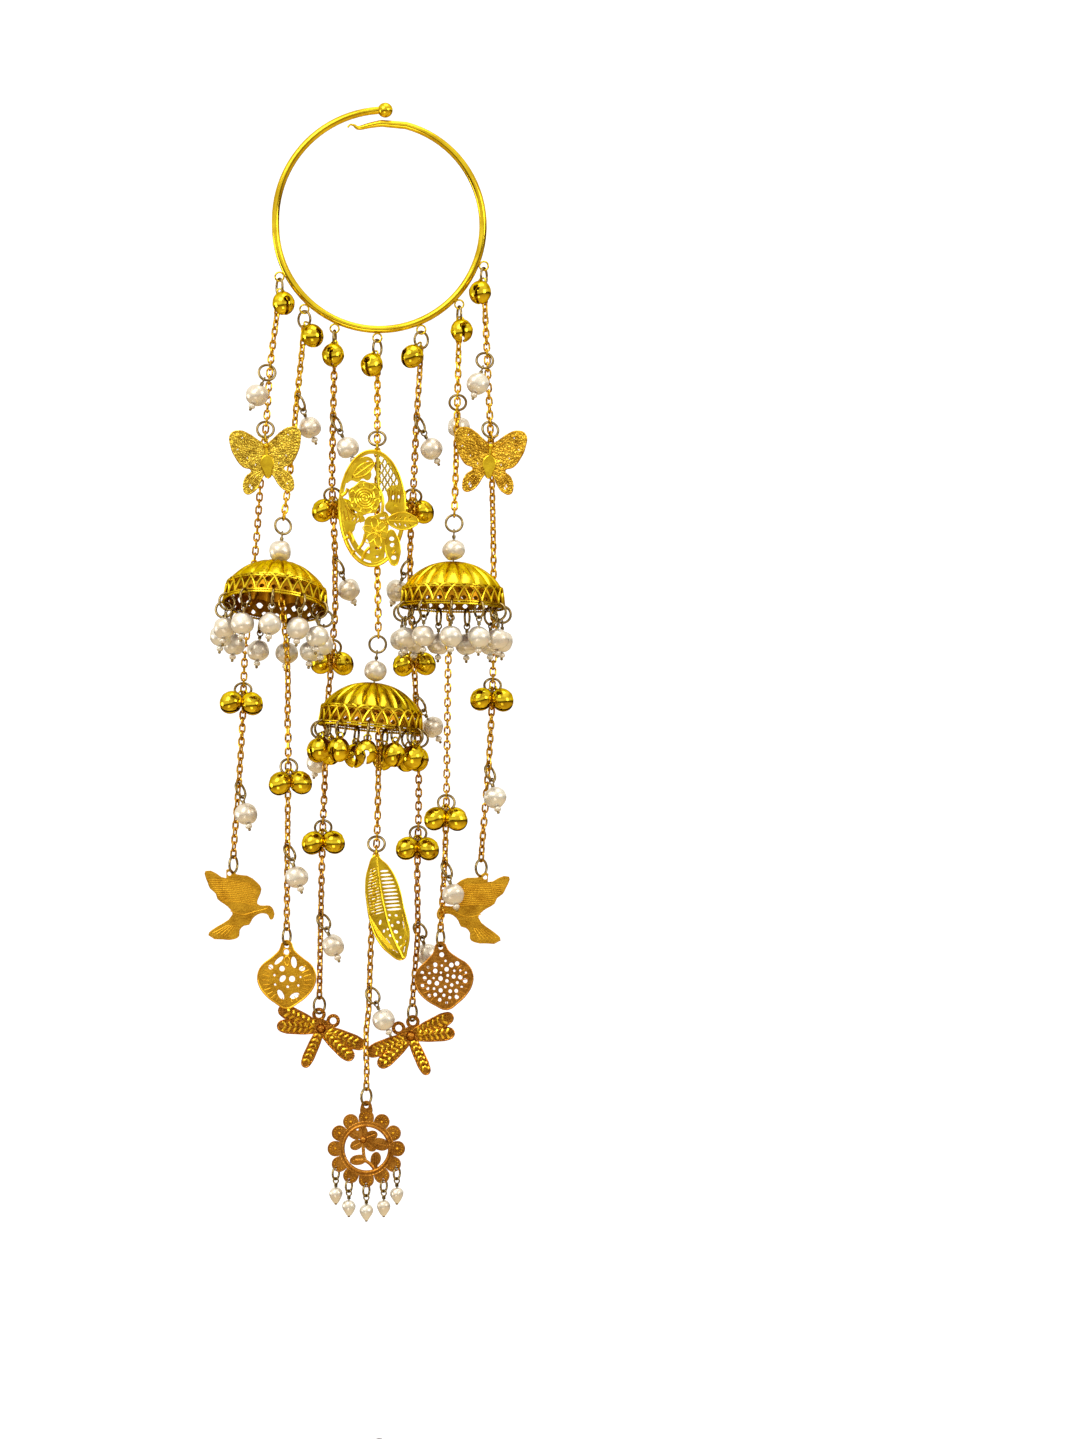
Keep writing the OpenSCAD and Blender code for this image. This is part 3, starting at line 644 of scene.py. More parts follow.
class KALIRE_OT_bangle(bpy.types.Operator):
    """Make the sprung bangle with its ball, hook and loops smooth"""
    bl_idname = "kalire.bangle"
    bl_label = "Bangle"

    def execute(self, context):
        bm = bmesh.new()
        centre, shift = Vector((0, 0, BANGLE_MIDDLE)), 1.9
        main = self.arc(centre, BANGLE_RADIUS, 180, 435, 60)
        bend = main[-2:] + [Vector((x, 0, z)) for x, z in (
            (4.6, 0.95), (0.8, 0.78), (-3.2, 0.1), (-6.6, -0.7), (-8.1, 0.15), (-9.4, 0.35), (-10.2, -0.5))]
        thin = smooth_row(bend, 5)[10:]
        outer = self.arc(centre + Vector((shift, 0, shift)), BANGLE_RADIUS + shift, 90, 180, 24)
        widths = [BANGLE_WIRE] * (len(outer) + len(main))
        widths += [max(0.62, BANGLE_WIRE - 1.9 * (k + 1) / 20) for k in range(len(thin))]
        self.swept(bm, outer + main + thin, widths)
        add_ball(bm, 2.4, HERE, outer[0], 4)
        loop = ring_template(1.4, 0.6, 28, 10)
        for place in self.loops():
            stamp(bm, loop, Matrix.Translation(place))
        finish_piece("smooth_bangle", bm, [plate("bright")], "bangle", 60)
        return {"FINISHED"}

    def arc(self, centre, radius, start, end, steps):
        turns = [math.radians(start + (end - start) * k / steps) for k in range(steps + 1)]
        return [centre + Vector((radius * math.cos(a), 0, radius * math.sin(a))) for a in turns]

    def loops(self):
        """The middles of the seven soldered loops, from the source's own angles."""
        reach = BANGLE_RADIUS + (BANGLE_WIRE + LOOP_OUTSIDE) / 2 - 0.25
        turns = [math.radians(a) for a in (207, 228, 246.5, 269, 292, 315.5, 339)]
        return [Vector((reach * math.cos(a), 0, reach * math.sin(a) + BANGLE_MIDDLE)) for a in turns]

    def swept(self, bm, line, widths):
        """One round bar with a width at each point."""
        data = bpy.data.curves.new("bar", "CURVE")
        data.dimensions = "3D"
        data.bevel_depth = 0.5
        data.bevel_resolution = 6
        data.use_fill_caps = True
        spline = data.splines.new("POLY")
        spline.points.add(len(line) - 1)
        for point, place, width in zip(spline.points, line, widths):
            point.co = (*place, 1)
            point.radius = width
        stamp(bm, evaluated(show(bpy.data.objects.new("bar", data))), HERE)


# Rings and pins

def add_wraps(bm, wrap, start, down, face):
    """Three turns of wire round a neck, from a place downward."""
    for k in range(3):
        stamp(bm, wrap, basis(start + down * (0.34 * k), face.cross(down), -down))


def add_pin(bm, wrap, eye_top, bottom, down, face):
    """An eye, a wrapped neck and a stem that ends in a ball below its bead."""
    middle = eye_top + down * (EYE_RADIUS + 0.25)
    stamp(bm, ring_template(EYE_RADIUS, EYE_WIRE, 20, 8), basis(middle, -down, face))
    neck = middle + down * EYE_RADIUS
    add_wraps(bm, wrap, neck + down * 0.2, down, face)
    tip = bottom - down * 0.5
    add_wires(bm, [[neck, tip + down * 0.1]], STEM_RADIUS, HERE, smooth=False)
    add_ball(bm, 0.5, HERE, tip)


def pin_facts(points):
    """The top, bottom, way down and eye's face of a plain head pin."""
    centre, long, _, _ = principal(points)
    down = downward(long)
    low, high = spread(points, centre, down)
    near = points[(points - np.array(centre)) @ np.array(down) < low + 2.3]
    face = principal(near)[3]
    face = (face - down * face.dot(down)).normalized()
    return centre + down * low, centre + down * high, down, face


def hung_wire_facts(points):
    """The ring's middle and face, and the pin's bottom, of a ring and pin made as one wire."""
    centre, long, _, thin = principal(points)
    down = downward(long)
    low, high = spread(points, centre, down)
    return centre + down * low, centre + down * high, down, thin


class KALIRE_OT_rings(bpy.types.Operator):
    """Make the jump rings and the wrapped head pins"""
    bl_idname = "kalire.rings"
    bl_label = "Rings and pins"

    def execute(self, context):
        wrap = ring_template(0.45, 0.36, 12, 6)
        for strand in STRANDS:
            bm = bmesh.new()
            for ring in strand_rings(strand):
                self.plain_ring(bm, *ring)
            self.done(f"open_rings_{strand}", bm, f"jump_rings_{strand}")
            bm = bmesh.new()
            for part in islands(f"head_pins_{strand}"):
                add_pin(bm, wrap, *pin_facts(part))
            self.done(f"wrapped_pins_{strand}", bm, f"head_pins_{strand}")
        for umbrella in (1, 2):
            bm = bmesh.new()
            for part in islands(f"fringe_wires_{umbrella}"):
                self.ring_with_pin(bm, wrap, part, 2.65, RING_WIRE)
            self.done(f"rim_rings_{umbrella}", bm, f"fringe_wires_{umbrella}")
        bm = bmesh.new()
        for part in islands("fringe_wires_3"):
            self.plain_ring(bm, *ring_facts(part))
        self.done("rim_rings_3", bm, "fringe_wires_3")
        bm = bmesh.new()
        for part in islands("sun_wires"):
            self.ring_with_pin(bm, wrap, part, 1.9, 0.6)
        self.done("sun_rings", bm, "sun_wires", SUN_BODY)
        bm = bmesh.new()
        for part in islands("eye_pins"):
            self.through_pin(bm, wrap, part)
        self.done("long_eye_pins", bm, "eye_pins")
        return {"FINISHED"}

    def done(self, name, bm, node, body=MAIN_BODY):
        finish_piece(name, bm, [plate("ring")], node, 50, body)

    def open_ring(self, radius, wire):
        return ring_template(radius, wire + 0.12, 36, 10)

    def plain_ring(self, bm, centre, normal, radius, wire):
        stamp(bm, self.open_ring(radius, wire), basis(centre, level(normal), normal))

    def ring_with_pin(self, bm, wrap, part, radius, wire):
        top, bottom, down, thin = hung_wire_facts(part)
        centre = top + down * (radius + wire / 2)
        stamp(bm, self.open_ring(radius, wire), basis(centre, -down, thin))
        eye_top = centre + down * (radius - wire / 2 - 0.55)
        add_pin(bm, wrap, eye_top, bottom, down, thin.cross(down))

    def through_pin(self, bm, wrap, part):
        """A pin with an eye at each end, the lower one facing forward."""
        top, bottom, down, face = pin_facts(part)
        eye = ring_template(EYE_RADIUS, EYE_WIRE, 20, 8)
        upper, lower = top + down * 1.2, bottom - down * 1.2
        stamp(bm, eye, basis(upper, -down, face))
        stamp(bm, eye, basis(lower, -down, Vector((0, 1, 0))))
        add_wraps(bm, wrap, upper + down * 1.15, down, face)
        ends = [upper + down * EYE_RADIUS, lower - down * EYE_RADIUS]
        add_wires(bm, [ends], STEM_RADIUS, HERE, smooth=False)


# Bells

def bell_template():
    """A hollow bell with a seam, a slot with round ends and a loop; its centre is the origin."""
    outer, inner, tall, wall = 3.55, 3.2, 4.0, 0.35
    seam, lower_by, rows = 0.1, 0.3, 14
    profile = []
    for k in range(rows + 1):
        a = math.radians(-89 + 178 * k / rows)
        swell = seam if k == rows / 2 else 0
        profile.append(((outer + swell) * math.cos(a), tall * math.sin(a) - lower_by))
    for k in range(rows, -1, -1):
        a = math.radians(-88 + 176 * k / rows)
        profile.append((inner * math.cos(a), (tall - wall) * math.sin(a) - lower_by))
    shell = show(bpy.data.objects.new("shell", as_template(revolve(profile, 28), "shell")))
    slot = bmesh.new()
    bmesh.ops.create_cube(slot, size=1, matrix=Matrix.LocRotScale((0, 0, -3), None, (9, 0.9, 3.8)))
    hole = bmesh.new()
    bmesh.ops.create_cone(hole, cap_ends=True, segments=14, radius1=1.15, radius2=1.15, depth=9,
                          matrix=moved(0, 0, -0.8) @ turned(90, "Y"))
    tools = [show(bpy.data.objects.new("tool", as_template(tool, "tool"))) for tool in (slot, hole)]
    for tool in tools:
        modifier = shell.modifiers.new("slot", "BOOLEAN")
        modifier.operation = "DIFFERENCE"
        modifier.solver = "EXACT"
        modifier.object = tool
    bm = bmesh.new()
    bm.from_mesh(evaluated(shell))
    for tool in tools:
        bpy.data.objects.remove(tool)
    up, side = Vector((0, 0, 1)), Vector((1, 0, 0))
    stamp(bm, ring_template(1.1, 0.6, 18, 8), basis(Vector((0, 0, 4.15)), up, side))
    stamp(bm, ring_template(0.55, 0.5, 14, 6), basis(Vector((0, 0, 3.3)), side, up))
    return as_template(bm, "bell")


def bell_facts(points):
    """The middle, way up and loop face of a bell, from a ball fitted to its shell."""
    keep = points
    centre = points.mean(axis=0)
    for _ in range(6):
        rows = np.hstack([2 * keep, np.ones((len(keep), 1))])
        centre = np.linalg.lstsq(rows, (keep ** 2).sum(axis=1), rcond=None)[0][:3]
        away = np.linalg.norm(points - centre, axis=1)
        keep = points[np.abs(away - 3.3) < 0.12]
    loop = points[np.linalg.norm(points - centre, axis=1) > 3.75]
    up = Vector(loop.mean(axis=0) - centre).normalized()
    face = principal(loop)[3]
    return Vector(centre), up, face


class KALIRE_OT_bells(bpy.types.Operator):
    """Make the round slotted bells"""
    bl_idname = "kalire.bells"
    bl_label = "Bells"

    def execute(self, context):
        bell = bell_template()
        for node in [f"bells_{strand}" for strand in STRANDS] + ["fringe_bells_3"]:
            bm = bmesh.new()
            for part in islands(node):
                centre, up, face = bell_facts(part)
                stamp(bm, bell, basis(centre, up, up.cross(face)))
            finish_piece(f"round_{node}", bm, [plate("bell")], node, 32)
        return {"FINISHED"}


# Pearls

class KALIRE_OT_pearls(bpy.types.Operator):
    """Make the uneven pearls with the seed beads below them"""
    bl_idname = "kalire.pearls"
    bl_label = "Pearls"

    def execute(self, context):
        for strand in STRANDS:
            pins = [pin_facts(part) for part in islands(f"head_pins_{strand}")]
            self.string(f"pearls_{strand}", pins, True)
        for umbrella in (1, 2):
            pins = [hung_wire_facts(part) for part in islands(f"fringe_wires_{umbrella}")]
            self.string(f"fringe_pearls_{umbrella}", pins, True)
        self.string("crown_pearls", [pin_facts(part) for part in islands("eye_pins")], False)
        pins = [hung_wire_facts(part) for part in islands("sun_wires")]
        self.string("sun_pearls", pins, False, SUN_BODY, 0.8)
        return {"FINISHED"}

    def string(self, node, pins, seeds, body=MAIN_BODY, drop=0.0):
        """The pearls of a node, each along its nearest pin."""
        bm = bmesh.new()
        for part in islands(node):
            low, high = part.min(axis=0), part.max(axis=0)
            centre = Vector((low + high) / 2)
            radius = float((high - low).max()) / 2
            down = min(pins, key=lambda p: ((p[0] + p[1]) / 2 - centre).length)[2]
            self.pearl(bm, centre, down, radius, drop)
            if seeds:
                bead = min(sizes().seed_bead, radius) / 2
                self.bead(bm, centre + down * (radius + bead * 0.5), down, bead)
        finish_piece(f"lustre_{node}", bm, [pearl_lustre()], node, 60, body)

    def pearl(self, bm, centre, down, radius, drop):
        """A ball with soft dents, drawn out below where it is a drop."""
        start = len(bm.verts)
        radius *= 1 + 0.06 * drop
        add_ball(bm, radius, HERE, centre, 4 if radius > 3 else 3)
        bm.verts.ensure_lookup_table()
        bumps = sizes().pearl_bumps * radius / 3.7
        for v in bm.verts[start:]:
            way = (v.co - centre).normalized()
            ends = way.dot(down)
            dent = noise.noise(way * 1.1 + centre * 0.37) * 1.6
            fine = noise.noise(way * 2.6 + centre * 0.71) * 0.35
            dip = bumps * (dent + fine - 0.45) - 0.05 * radius * ends ** 4
            v.co = centre + way * (radius + min(0, dip))
            if ends > 0:
                v.co += (down * ends * radius - way * 0.5) * drop * ends ** 2

    def bead(self, bm, place, down, radius):
        """A seed bead, a little flattened along its pin."""
        start = len(bm.verts)
        add_ball(bm, radius, HERE, place)
        bm.verts.ensure_lookup_table()
        for v in bm.verts[start:]:
            v.co -= down * (v.co - place).dot(down) * 0.18


# Umbrellas

def umbrella_frame(number, pins):
    """The matrix of an umbrella, its origin at the dome's top and Z up its pin, and its height."""
    points = np.vstack(islands(f"umbrella_{number}"))
    middle = Vector((points.min(axis=0) + points.max(axis=0)) / 2)
    top, _, down, _ = min(pins, key=lambda p: (((p[0] + p[1]) / 2) - middle).length)
    low, high = spread(points, top, down)
    return basis(top + down * low, -down, Vector((0, 1, 0))), high - low


class KALIRE_OT_umbrellas(bpy.types.Operator):
    """Make the petalled domes with their beaded, latticed bands"""
    bl_idname = "kalire.umbrellas"
    bl_label = "Umbrellas"

    def execute(self, context):
        pins = [pin_facts(part) for part in islands("eye_pins")]
        for number in (1, 2, 3):
            matrix, height = umbrella_frame(number, pins)
            bm = bmesh.new()
            dome_low = height - BAND_HEIGHT
            self.dome(bm, matrix, dome_low)
            self.band(bm, matrix, dome_low, height)
            finish_piece(f"petal_umbrella_{number}", bm, [plate("dome"), plate("recess")],
                         f"umbrella_{number}", 42)
        return {"FINISHED"}

    def dome(self, bm, matrix, drop):
        """A shell with petals that swell between grooves, from its top to its band."""
        edge, wall, rows = 15.6, 0.5, 14
        ball = (edge * edge + drop * drop) / (2 * drop)
        sweep = math.asin(edge / ball)
        outer = []
        for k in range(rows + 1):
            a = 0.035 + (sweep - 0.035) * k / rows
            outer.append((ball * math.sin(a), ball * (math.cos(a) - 1)))
        inner = [(max(0.5, r - wall * 0.4), z - wall) for r, z in reversed(outer)]
        petals = sizes().petals
        shape = revolve(outer + inner, petals * 8)
        for v in shape.verts:
            r = math.hypot(v.co.x, v.co.y)
            turn = math.atan2(v.co.y, v.co.x)
            t = min(1, r / edge)
            rise = min(1, t * 2.2) * min(1, (1 - t) * 6 + 0.35)
            groove = abs(math.sin(petals * turn / 2)) ** 0.4
            outward = Vector((v.co.x / ball, v.co.y / ball, 1 - r / ball * 0.3)).normalized()
            v.co += outward * 0.95 * (groove - 0.7) * rise
        start = len(bm.faces)
        stamp(bm, as_template(shape, "dome"), matrix)
        # Faces that look into the dome get the painted shade gold: a dark colour standing in for the shade
        # under the dome.
        centre = matrix.translation - matrix.to_3x3() @ Vector((0, 0, 1)) * ball
        bm.normal_update()
        paint(bm, start, 1, lambda face: face.normal.dot(face.calc_center_median() - centre) < 0)

    def band(self, bm, matrix, top, bottom):
        """Beaded lines above and below a lattice of crossing wires."""
        flat = turned(90, "X")
        upper, lower = 15.7, 16.35
        beads = ((upper + 0.1, top + 0.1, 0.7, 240), (upper + 0.25, top + 0.8, 0.7, 240),
                 (lower + 0.1, bottom - 1.25, 0.65, 250), (lower + 0.1, bottom - 0.5, 0.9, 250))
        for r, z, wire, steps in beads:
            stamp(bm, ring_template(r, wire, steps, 6, 0.62), matrix @ moved(0, 0, -z) @ flat)
        count = sizes().lattice
        z_top, z_low = -top + 0.1, -bottom + 1.3

        def on_band(turn, height, lift=0.0):
            r = lower + (upper - lower) * height + lift
            a = math.tau * turn / count
            return Vector((r * math.cos(a), r * math.sin(a), z_low + (z_top - z_low) * height))

        sheet = bmesh.new()
        for k in range(count):
            self.cell(sheet, on_band, k - 0.5, 0.4, 1, (0.5, 0.36), (0.33, 0.3))
            self.cell(sheet, on_band, k, 0, 0.4, (0.5, 0.45), (0.24, 0.34))
        bmesh.ops.remove_doubles(sheet, verts=sheet.verts, dist=1e-3)
        bmesh.ops.recalc_face_normals(sheet, faces=sheet.faces)
        bmesh.ops.solidify(sheet, geom=sheet.faces[:], thickness=0.4)
        # The whole sheet gets the painted shade gold: a dark sheet standing in for the shade behind the
        # crossing wires.
        start = len(bm.faces)
        stamp(bm, as_template(sheet, "band"), matrix)
        paint(bm, start, 1)
        places = [step / 8 for step in range(-8, 9)]
        arch = [(f, 0.03 + 0.93 * math.cos(f * math.pi / 2) ** 0.75) for f in places]
        lines = [[on_band(k + f, height, 0.1 + 0.12 * (k % 2)) for f, height in arch] for k in range(count)]
        add_wires(bm, lines, 0.36, matrix, smooth=False)

    def cell(self, bm, on_band, left, low, high, middle, reach):
        """One cell of the band's sheet, with a diamond cut out of it."""
        outer, inner = [], []
        for x, z in ((0, 0), (0.5, 0), (1, 0), (1, 0.5), (1, 1), (0.5, 1), (0, 1), (0, 0.5)):
            outer.append(bm.verts.new(on_band(left + x, low + (high - low) * z)))
            slim = 0.62 if x in (0, 1) and z in (0, 1) else 1
            at_x = middle[0] + (x - 0.5) * 2 * reach[0] * slim
            at_z = middle[1] + (z - 0.5) * 2 * reach[1] * slim
            inner.append(bm.verts.new(on_band(left + at_x, low + (high - low) * at_z)))
        for k in range(8):
            bm.faces.new((outer[k - 1], outer[k], inner[k], inner[k - 1]))


# Charms

def ellipse(cx, cz, rx, rz, turn=0.0, count=8):
    """Points round an ellipse in the XZ plane."""
    c, s = math.cos(math.radians(turn)), math.sin(math.radians(turn))
    found = []
    for k in range(count):
        x, z = rx * math.cos(math.tau * k / count), rz * math.sin(math.tau * k / count)
        found.append((cx + x * c - z * s, cz + x * s + z * c))
    return found


def ellipses(rows, *more):
    return [ellipse(*row, *more) for row in rows]


def mirrored(points):
    return [(-x, z) for x, z in points]


def across(line, z):
    """How far across a line that runs downward is at a height."""
    return float(np.interp(-z, [-p[1] for p in line], [p[0] for p in line]))


def add_loop(bm, place, degrees=90):
    """The small ring at the top of a charm, turned about the way up."""
    stamp(bm, ring_template(1.1, 0.55, 18, 8), place @ turned(degrees, "Z"))


def charm_piece(name, bm, materials, body=MAIN_BODY):
    finish_piece(f"stamped_{name}", bm, materials, name, 35, body)


WING = [(0.5, -3), (3, -0.8), (5.6, 1.2), (8.7, 2.5), (11.5, 1.6), (11.7, -2.5), (10.4, -6.2),
        (8.1, -9.4), (5.4, -10.8), (7.5, -13), (8.5, -16.2), (7.7, -18.4), (5.6, -18), (3.7, -16.2),
        (1.9, -13), (0.5, -11.5)]


class KALIRE_OT_butterflies(bpy.types.Operator):
    """Make the two filigree butterflies"""
    bl_idname = "kalire.butterflies"
    bl_label = "Butterflies"

    def execute(self, context):
        for number in (1, 2):
            name = f"butterfly_{number}"
            place = charm_frame(name)
            bm = bmesh.new()
            for side in (1, -1):
                way = Matrix.Scale(side, 4, (1, 0, 0)) @ Matrix.Scale(0.96, 4)
                self.wing(bm, place @ way @ turned(-12, "Z"))
            start = len(bm.faces)
            body = [(0, -6), (1.5, -7), (1.9, -8.6), (1.2, -10.8), (0, -13), (-1.2, -10.8),
                    (-1.9, -8.6), (-1.5, -7)]
            add_plate(bm, [body], 1.4, place @ moved(0, -0.3, 0), detail=3, edge=0.35)
            raise_lines(bm, [body], -0.75, 0.25, place, closed=True)
            raise_lines(bm, [[(0, -2.4), (0, -6.4)]], -0.5, 0.5, place, sides=3)
            add_ball(bm, 0.95, place, (0, -0.5, -2.8))
            paint(bm, start, 1)
            feeler = ((0.2, -0.3, -1.8), (1.1, -0.4, -0.2), (2.3, -0.4, 0.8))
            add_wires(bm, [[(side * x, y, z) for x, y, z in feeler] for side in (1, -1)], 0.2, place)
            add_loop(bm, place @ moved(0, 0, -0.35), 90 if number == 1 else 110)
            colour = (None, (0.76, 0.47, 0.04))[number - 1]
            charm_piece(name, bm, [plate("glitter", number, colour), plate("yellow")])
        return {"FINISHED"}

    def wing(self, bm, place):
        """A pierced wing with a raised border, veins and spirals of grains."""
        holes = ((6.1, -16.2, 0.55, 1.0, -20), (9.6, -3.6, 0.25, 0.45, 60), (6.6, -6.6, 0.25, 0.4, 20),
                 (4, -9, 0.22, 0.5, 10), (7.8, 0.2, 0.25, 0.4, 50), (4.4, -13.4, 0.25, 0.6, 20))
        add_plate(bm, [WING] + ellipses(holes), 0.55, place)
        raise_lines(bm, [WING], -0.2, 0.34, place, closed=True, detail=4)
        veins = [[(1, -4), (4, -2), (8, 1), (10.6, 1)], [(1, -5), (5, -4), (8.6, -3), (11.2, -2.2)],
                 [(1, -6), (4.6, -7), (7.4, -8.6)], [(1, -9), (3.4, -10.4), (5, -10.6)],
                 [(1.2, -11), (4.6, -13.6), (6.8, -17.6)], [(1.4, -11), (5.4, -12.6), (7.6, -15)]]
        raise_lines(bm, veins, -0.3, 0.22, place)
        scatter(bm, place, (6.5, -0.27, -3.4), 90, 0.41 * 1.25, 0.23)
        scatter(bm, place, (5.2, -0.27, -14.6), 40, 0.41 * 0.66, 0.23)


BIRD = [(-8.9, 0.5), (-5.6, -0.2), (-2.2, -1.8), (-2.2, 0.9), (-0.6, 0.9), (1, -0.6), (4.4, -1),
        (7.6, -3.2), (8.9, -5.2), (8, -8), (7.6, -10), (9.8, -10.6), (11.6, -10.6), (12.8, -12),
        (12.9, -14.2), (12, -15), (11.2, -13.5), (9.6, -12.9), (7.8, -13.3), (6, -14.8), (5, -16.6),
        (3.4, -16.9), (1.9, -18.5), (1.8, -20.2), (0.4, -21.2), (-3.2, -21.3), (-7.9, -20), (-7, -18.5),
        (-3.2, -16.2), (-0.2, -13.3), (-0.8, -11.8), (-2.8, -10), (-5, -8.4), (-5.6, -6.6), (-7.4, -5),
        (-8.2, -3), (-8.9, -1.2)]


class KALIRE_OT_birds(bpy.types.Operator):
    """Make the two flying birds with feather lines"""
    bl_idname = "kalire.birds"
    bl_label = "Birds"

    def execute(self, context):
        for number in (1, 2):
            name = f"bird_{number}"
            place = charm_frame(name)
            bm = bmesh.new()
            add_plate(bm, [BIRD, ellipse(-1.3, -0.3, 0.75, 0.75)], 0.7, place, detail=2)
            lines = []
            for k in range(12):
                z = -2.6 - 0.62 * k
                a, b = -8.2 + 0.42 * k, min(7.2, 5.2 + 0.8 * k)
                lines.append([(a, z + 0.3), (a * 0.6 + b * 0.4, z + 0.25), (b, z - 0.9)])
            for k in range(5):
                lines.append([(-6.6 + 1.3 * k, -19.4 - 0.25 * k), (-1.8 + 0.7 * k, -16.8)])
            raise_lines(bm, lines, -0.36, 0.13, place)
            raise_lines(bm, [[(-1, -12.2), (3, -13.4), (7, -12.4), (11, -11.4)]], -0.36, 0.16, place)
            add_ball(bm, 0.3, place, (11, -0.4, -11.4), 1)
            charm_piece(name, bm, [plate("charm")])
        return {"FINISHED"}


LEAF_HALF = [(0.9, 1.1), (2.3, -1.8), (5.1, -4.4), (7.9, -6.7), (9.2, -9.8), (8.8, -12.8), (6.8, -15.9),
             (3.6, -18.5)]


class KALIRE_OT_leaves(bpy.types.Operator):
    """Make the two pierced leaf drops"""
    bl_idname = "kalire.leaves"
    bl_label = "Leaf drops"

    def execute(self, context):
        outline = LEAF_HALF + [(0, -20.3)] + mirrored(reversed(LEAF_HALF))
        for number in (1, 2):
            name = f"leaf_{number}"
            place = charm_frame(name)
            bm = bmesh.new()
            holes = self.petal_holes() if number == 1 else self.mesh_holes()
            add_plate(bm, [outline, ellipse(0, -0.35, 0.8, 0.8)] + holes, 0.7, place, detail=3)
            raise_lines(bm, [outline], -0.25, 0.3, place, closed=True)
            turns = [a for a in (math.tau * k / 28 for k in range(28)) if math.sin(a) < 0.75]
            tips = [(7.8 * math.cos(a), -11.2 + 7.4 * math.sin(a)) for a in turns]
            rays = [[polar(0, -11.4, 5.6, a), tip] for a, tip in zip(turns, tips)]
            raise_lines(bm, rays, -0.35, 0.16, place, smooth=False)
            if number == 1:
                raise_lines(bm, [ellipse(0.1, -5.2, 0.75, 1.5)], -0.3, 0.3, place, closed=True)
                raise_lines(bm, [ellipse(-0.1, -2.3, 1.15, 1.15)], -0.3, 0.2, place, closed=True)
            charm_piece(name, bm, [plate("charm" if number == 1 else "dark")])
        return {"FINISHED"}

    def petal_holes(self):
        """Windows round a drop, round holes below them and two windows at the foot."""
        rows = ((-0.1, -2.3, 0.95, 0.95, 0), (-2.5, -5, 1.9, 0.7, 42), (2.3, -5.6, 0.95, 1.9, 8),
                (-5.1, -7.1, 0.85, 0.85, 0), (-1.5, -7.6, 0.95, 0.95, 0), (4.9, -7.6, 1.05, 0.85, 10),
                (-1.3, -10.8, 1.3, 0.9, 50), (1.7, -10.9, 1.05, 1.05, 0), (-1.9, -15.9, 1.8, 0.9, -60),
                (2.5, -16.3, 1.7, 0.9, 25), (-3.9, -9.7, 0.45, 0.45, 0), (4.4, -10.3, 0.4, 0.4, 0),
                (0.3, -13.4, 0.5, 0.5, 0), (-3.7, -12.7, 0.45, 0.45, 0), (3.7, -13, 0.45, 0.45, 0))
        return ellipses(rows)

    def mesh_holes(self):
        """Round holes of many sizes scattered over the drop."""
        found = [ellipse(0.1, -2.7, 0.85, 0.85)]
        for k in range(60):
            x, z = polar(0, -11.2, 1.14 * math.sqrt(k + 0.6), k * 2.39996)
            if -18.4 < z < -4.7 and abs(x) < across(LEAF_HALF, z) - 1.4:
                size = 0.62 + 0.18 * math.sin(k * 1.9)
                found.append(ellipse(x, z, size, size * 1.05))
        return found


def paddle(length, width):
    """The outline of a blunt wing that stands on its root."""
    shares = ((0.42, 0.25), (0.5, 0.6), (0.46, 0.85), (0.22, 0.98))
    half = [(0.7, 0)] + [(width * x, length * z) for x, z in shares]
    return half + mirrored(reversed(half))


class KALIRE_OT_dragonflies(bpy.types.Operator):
    """Make the two dragonflies with ridged wings"""
    bl_idname = "kalire.dragonflies"
    bl_label = "Dragonflies"

    def execute(self, context):
        for number in (1, 2):
            name = f"dragonfly_{number}"
            place = charm_frame(name) @ moved(2.5, 0, -0.65)
            bm = bmesh.new()
            for side in (1, -1):
                middle = (side * 2.5, 0.3)
                add_plate(bm, [ellipse(*middle, 2.1, 2.1, 0, 12), ellipse(*middle, 1.15, 1.15)], 0.7, place)
                for k in range(12):
                    x, z = polar(*middle, 1.65, math.radians(30 * k))
                    add_ball(bm, 0.36, place, (x, -0.3, z), 1)
                for length, turn in ((15, -2), (14, 20)):
                    root = moved(0, 0.004 * (turn + side * 3), -3.6)
                    self.wing(bm, place @ root @ turned(-side * (90 + turn), "Y"), length, 4.2)
            self.wing(bm, place @ moved(0, 0, -3) @ turned(180, "Y"), 14, 3.3)
            add_plate(bm, [ellipse(0, -3.4, 2.6, 2.8, 0, 12)], 0.86, place)
            add_ball(bm, 1.5, place, (0, -0.3, -3.6), 3)
            charm_piece(name, bm, [plate("dragonfly"), plate("ridge")])
        return {"FINISHED"}

    def wing(self, bm, place, length, width):
        """A plate with a raised border and two rows of bright ridges."""
        outline = paddle(length, width)
        pitch = 1.75
        add_plate(bm, [outline], 0.6, place)
        raise_lines(bm, [outline], -0.2, 0.3, place, closed=True)
        start = len(bm.faces)
        ridges = []
        for k in range(int((length - 3.4) / pitch)):
            z = 3 + pitch * k
            for side in (1, -1):
                ridges.append([(side * 0.15, -0.45, z - 0.5), (side * 0.7, -0.6, z),
                               (side * width * 0.36, -0.4, z + 0.5)])
        add_wires(bm, ridges, 0.42, place, detail=2)
        paint(bm, start, 1)


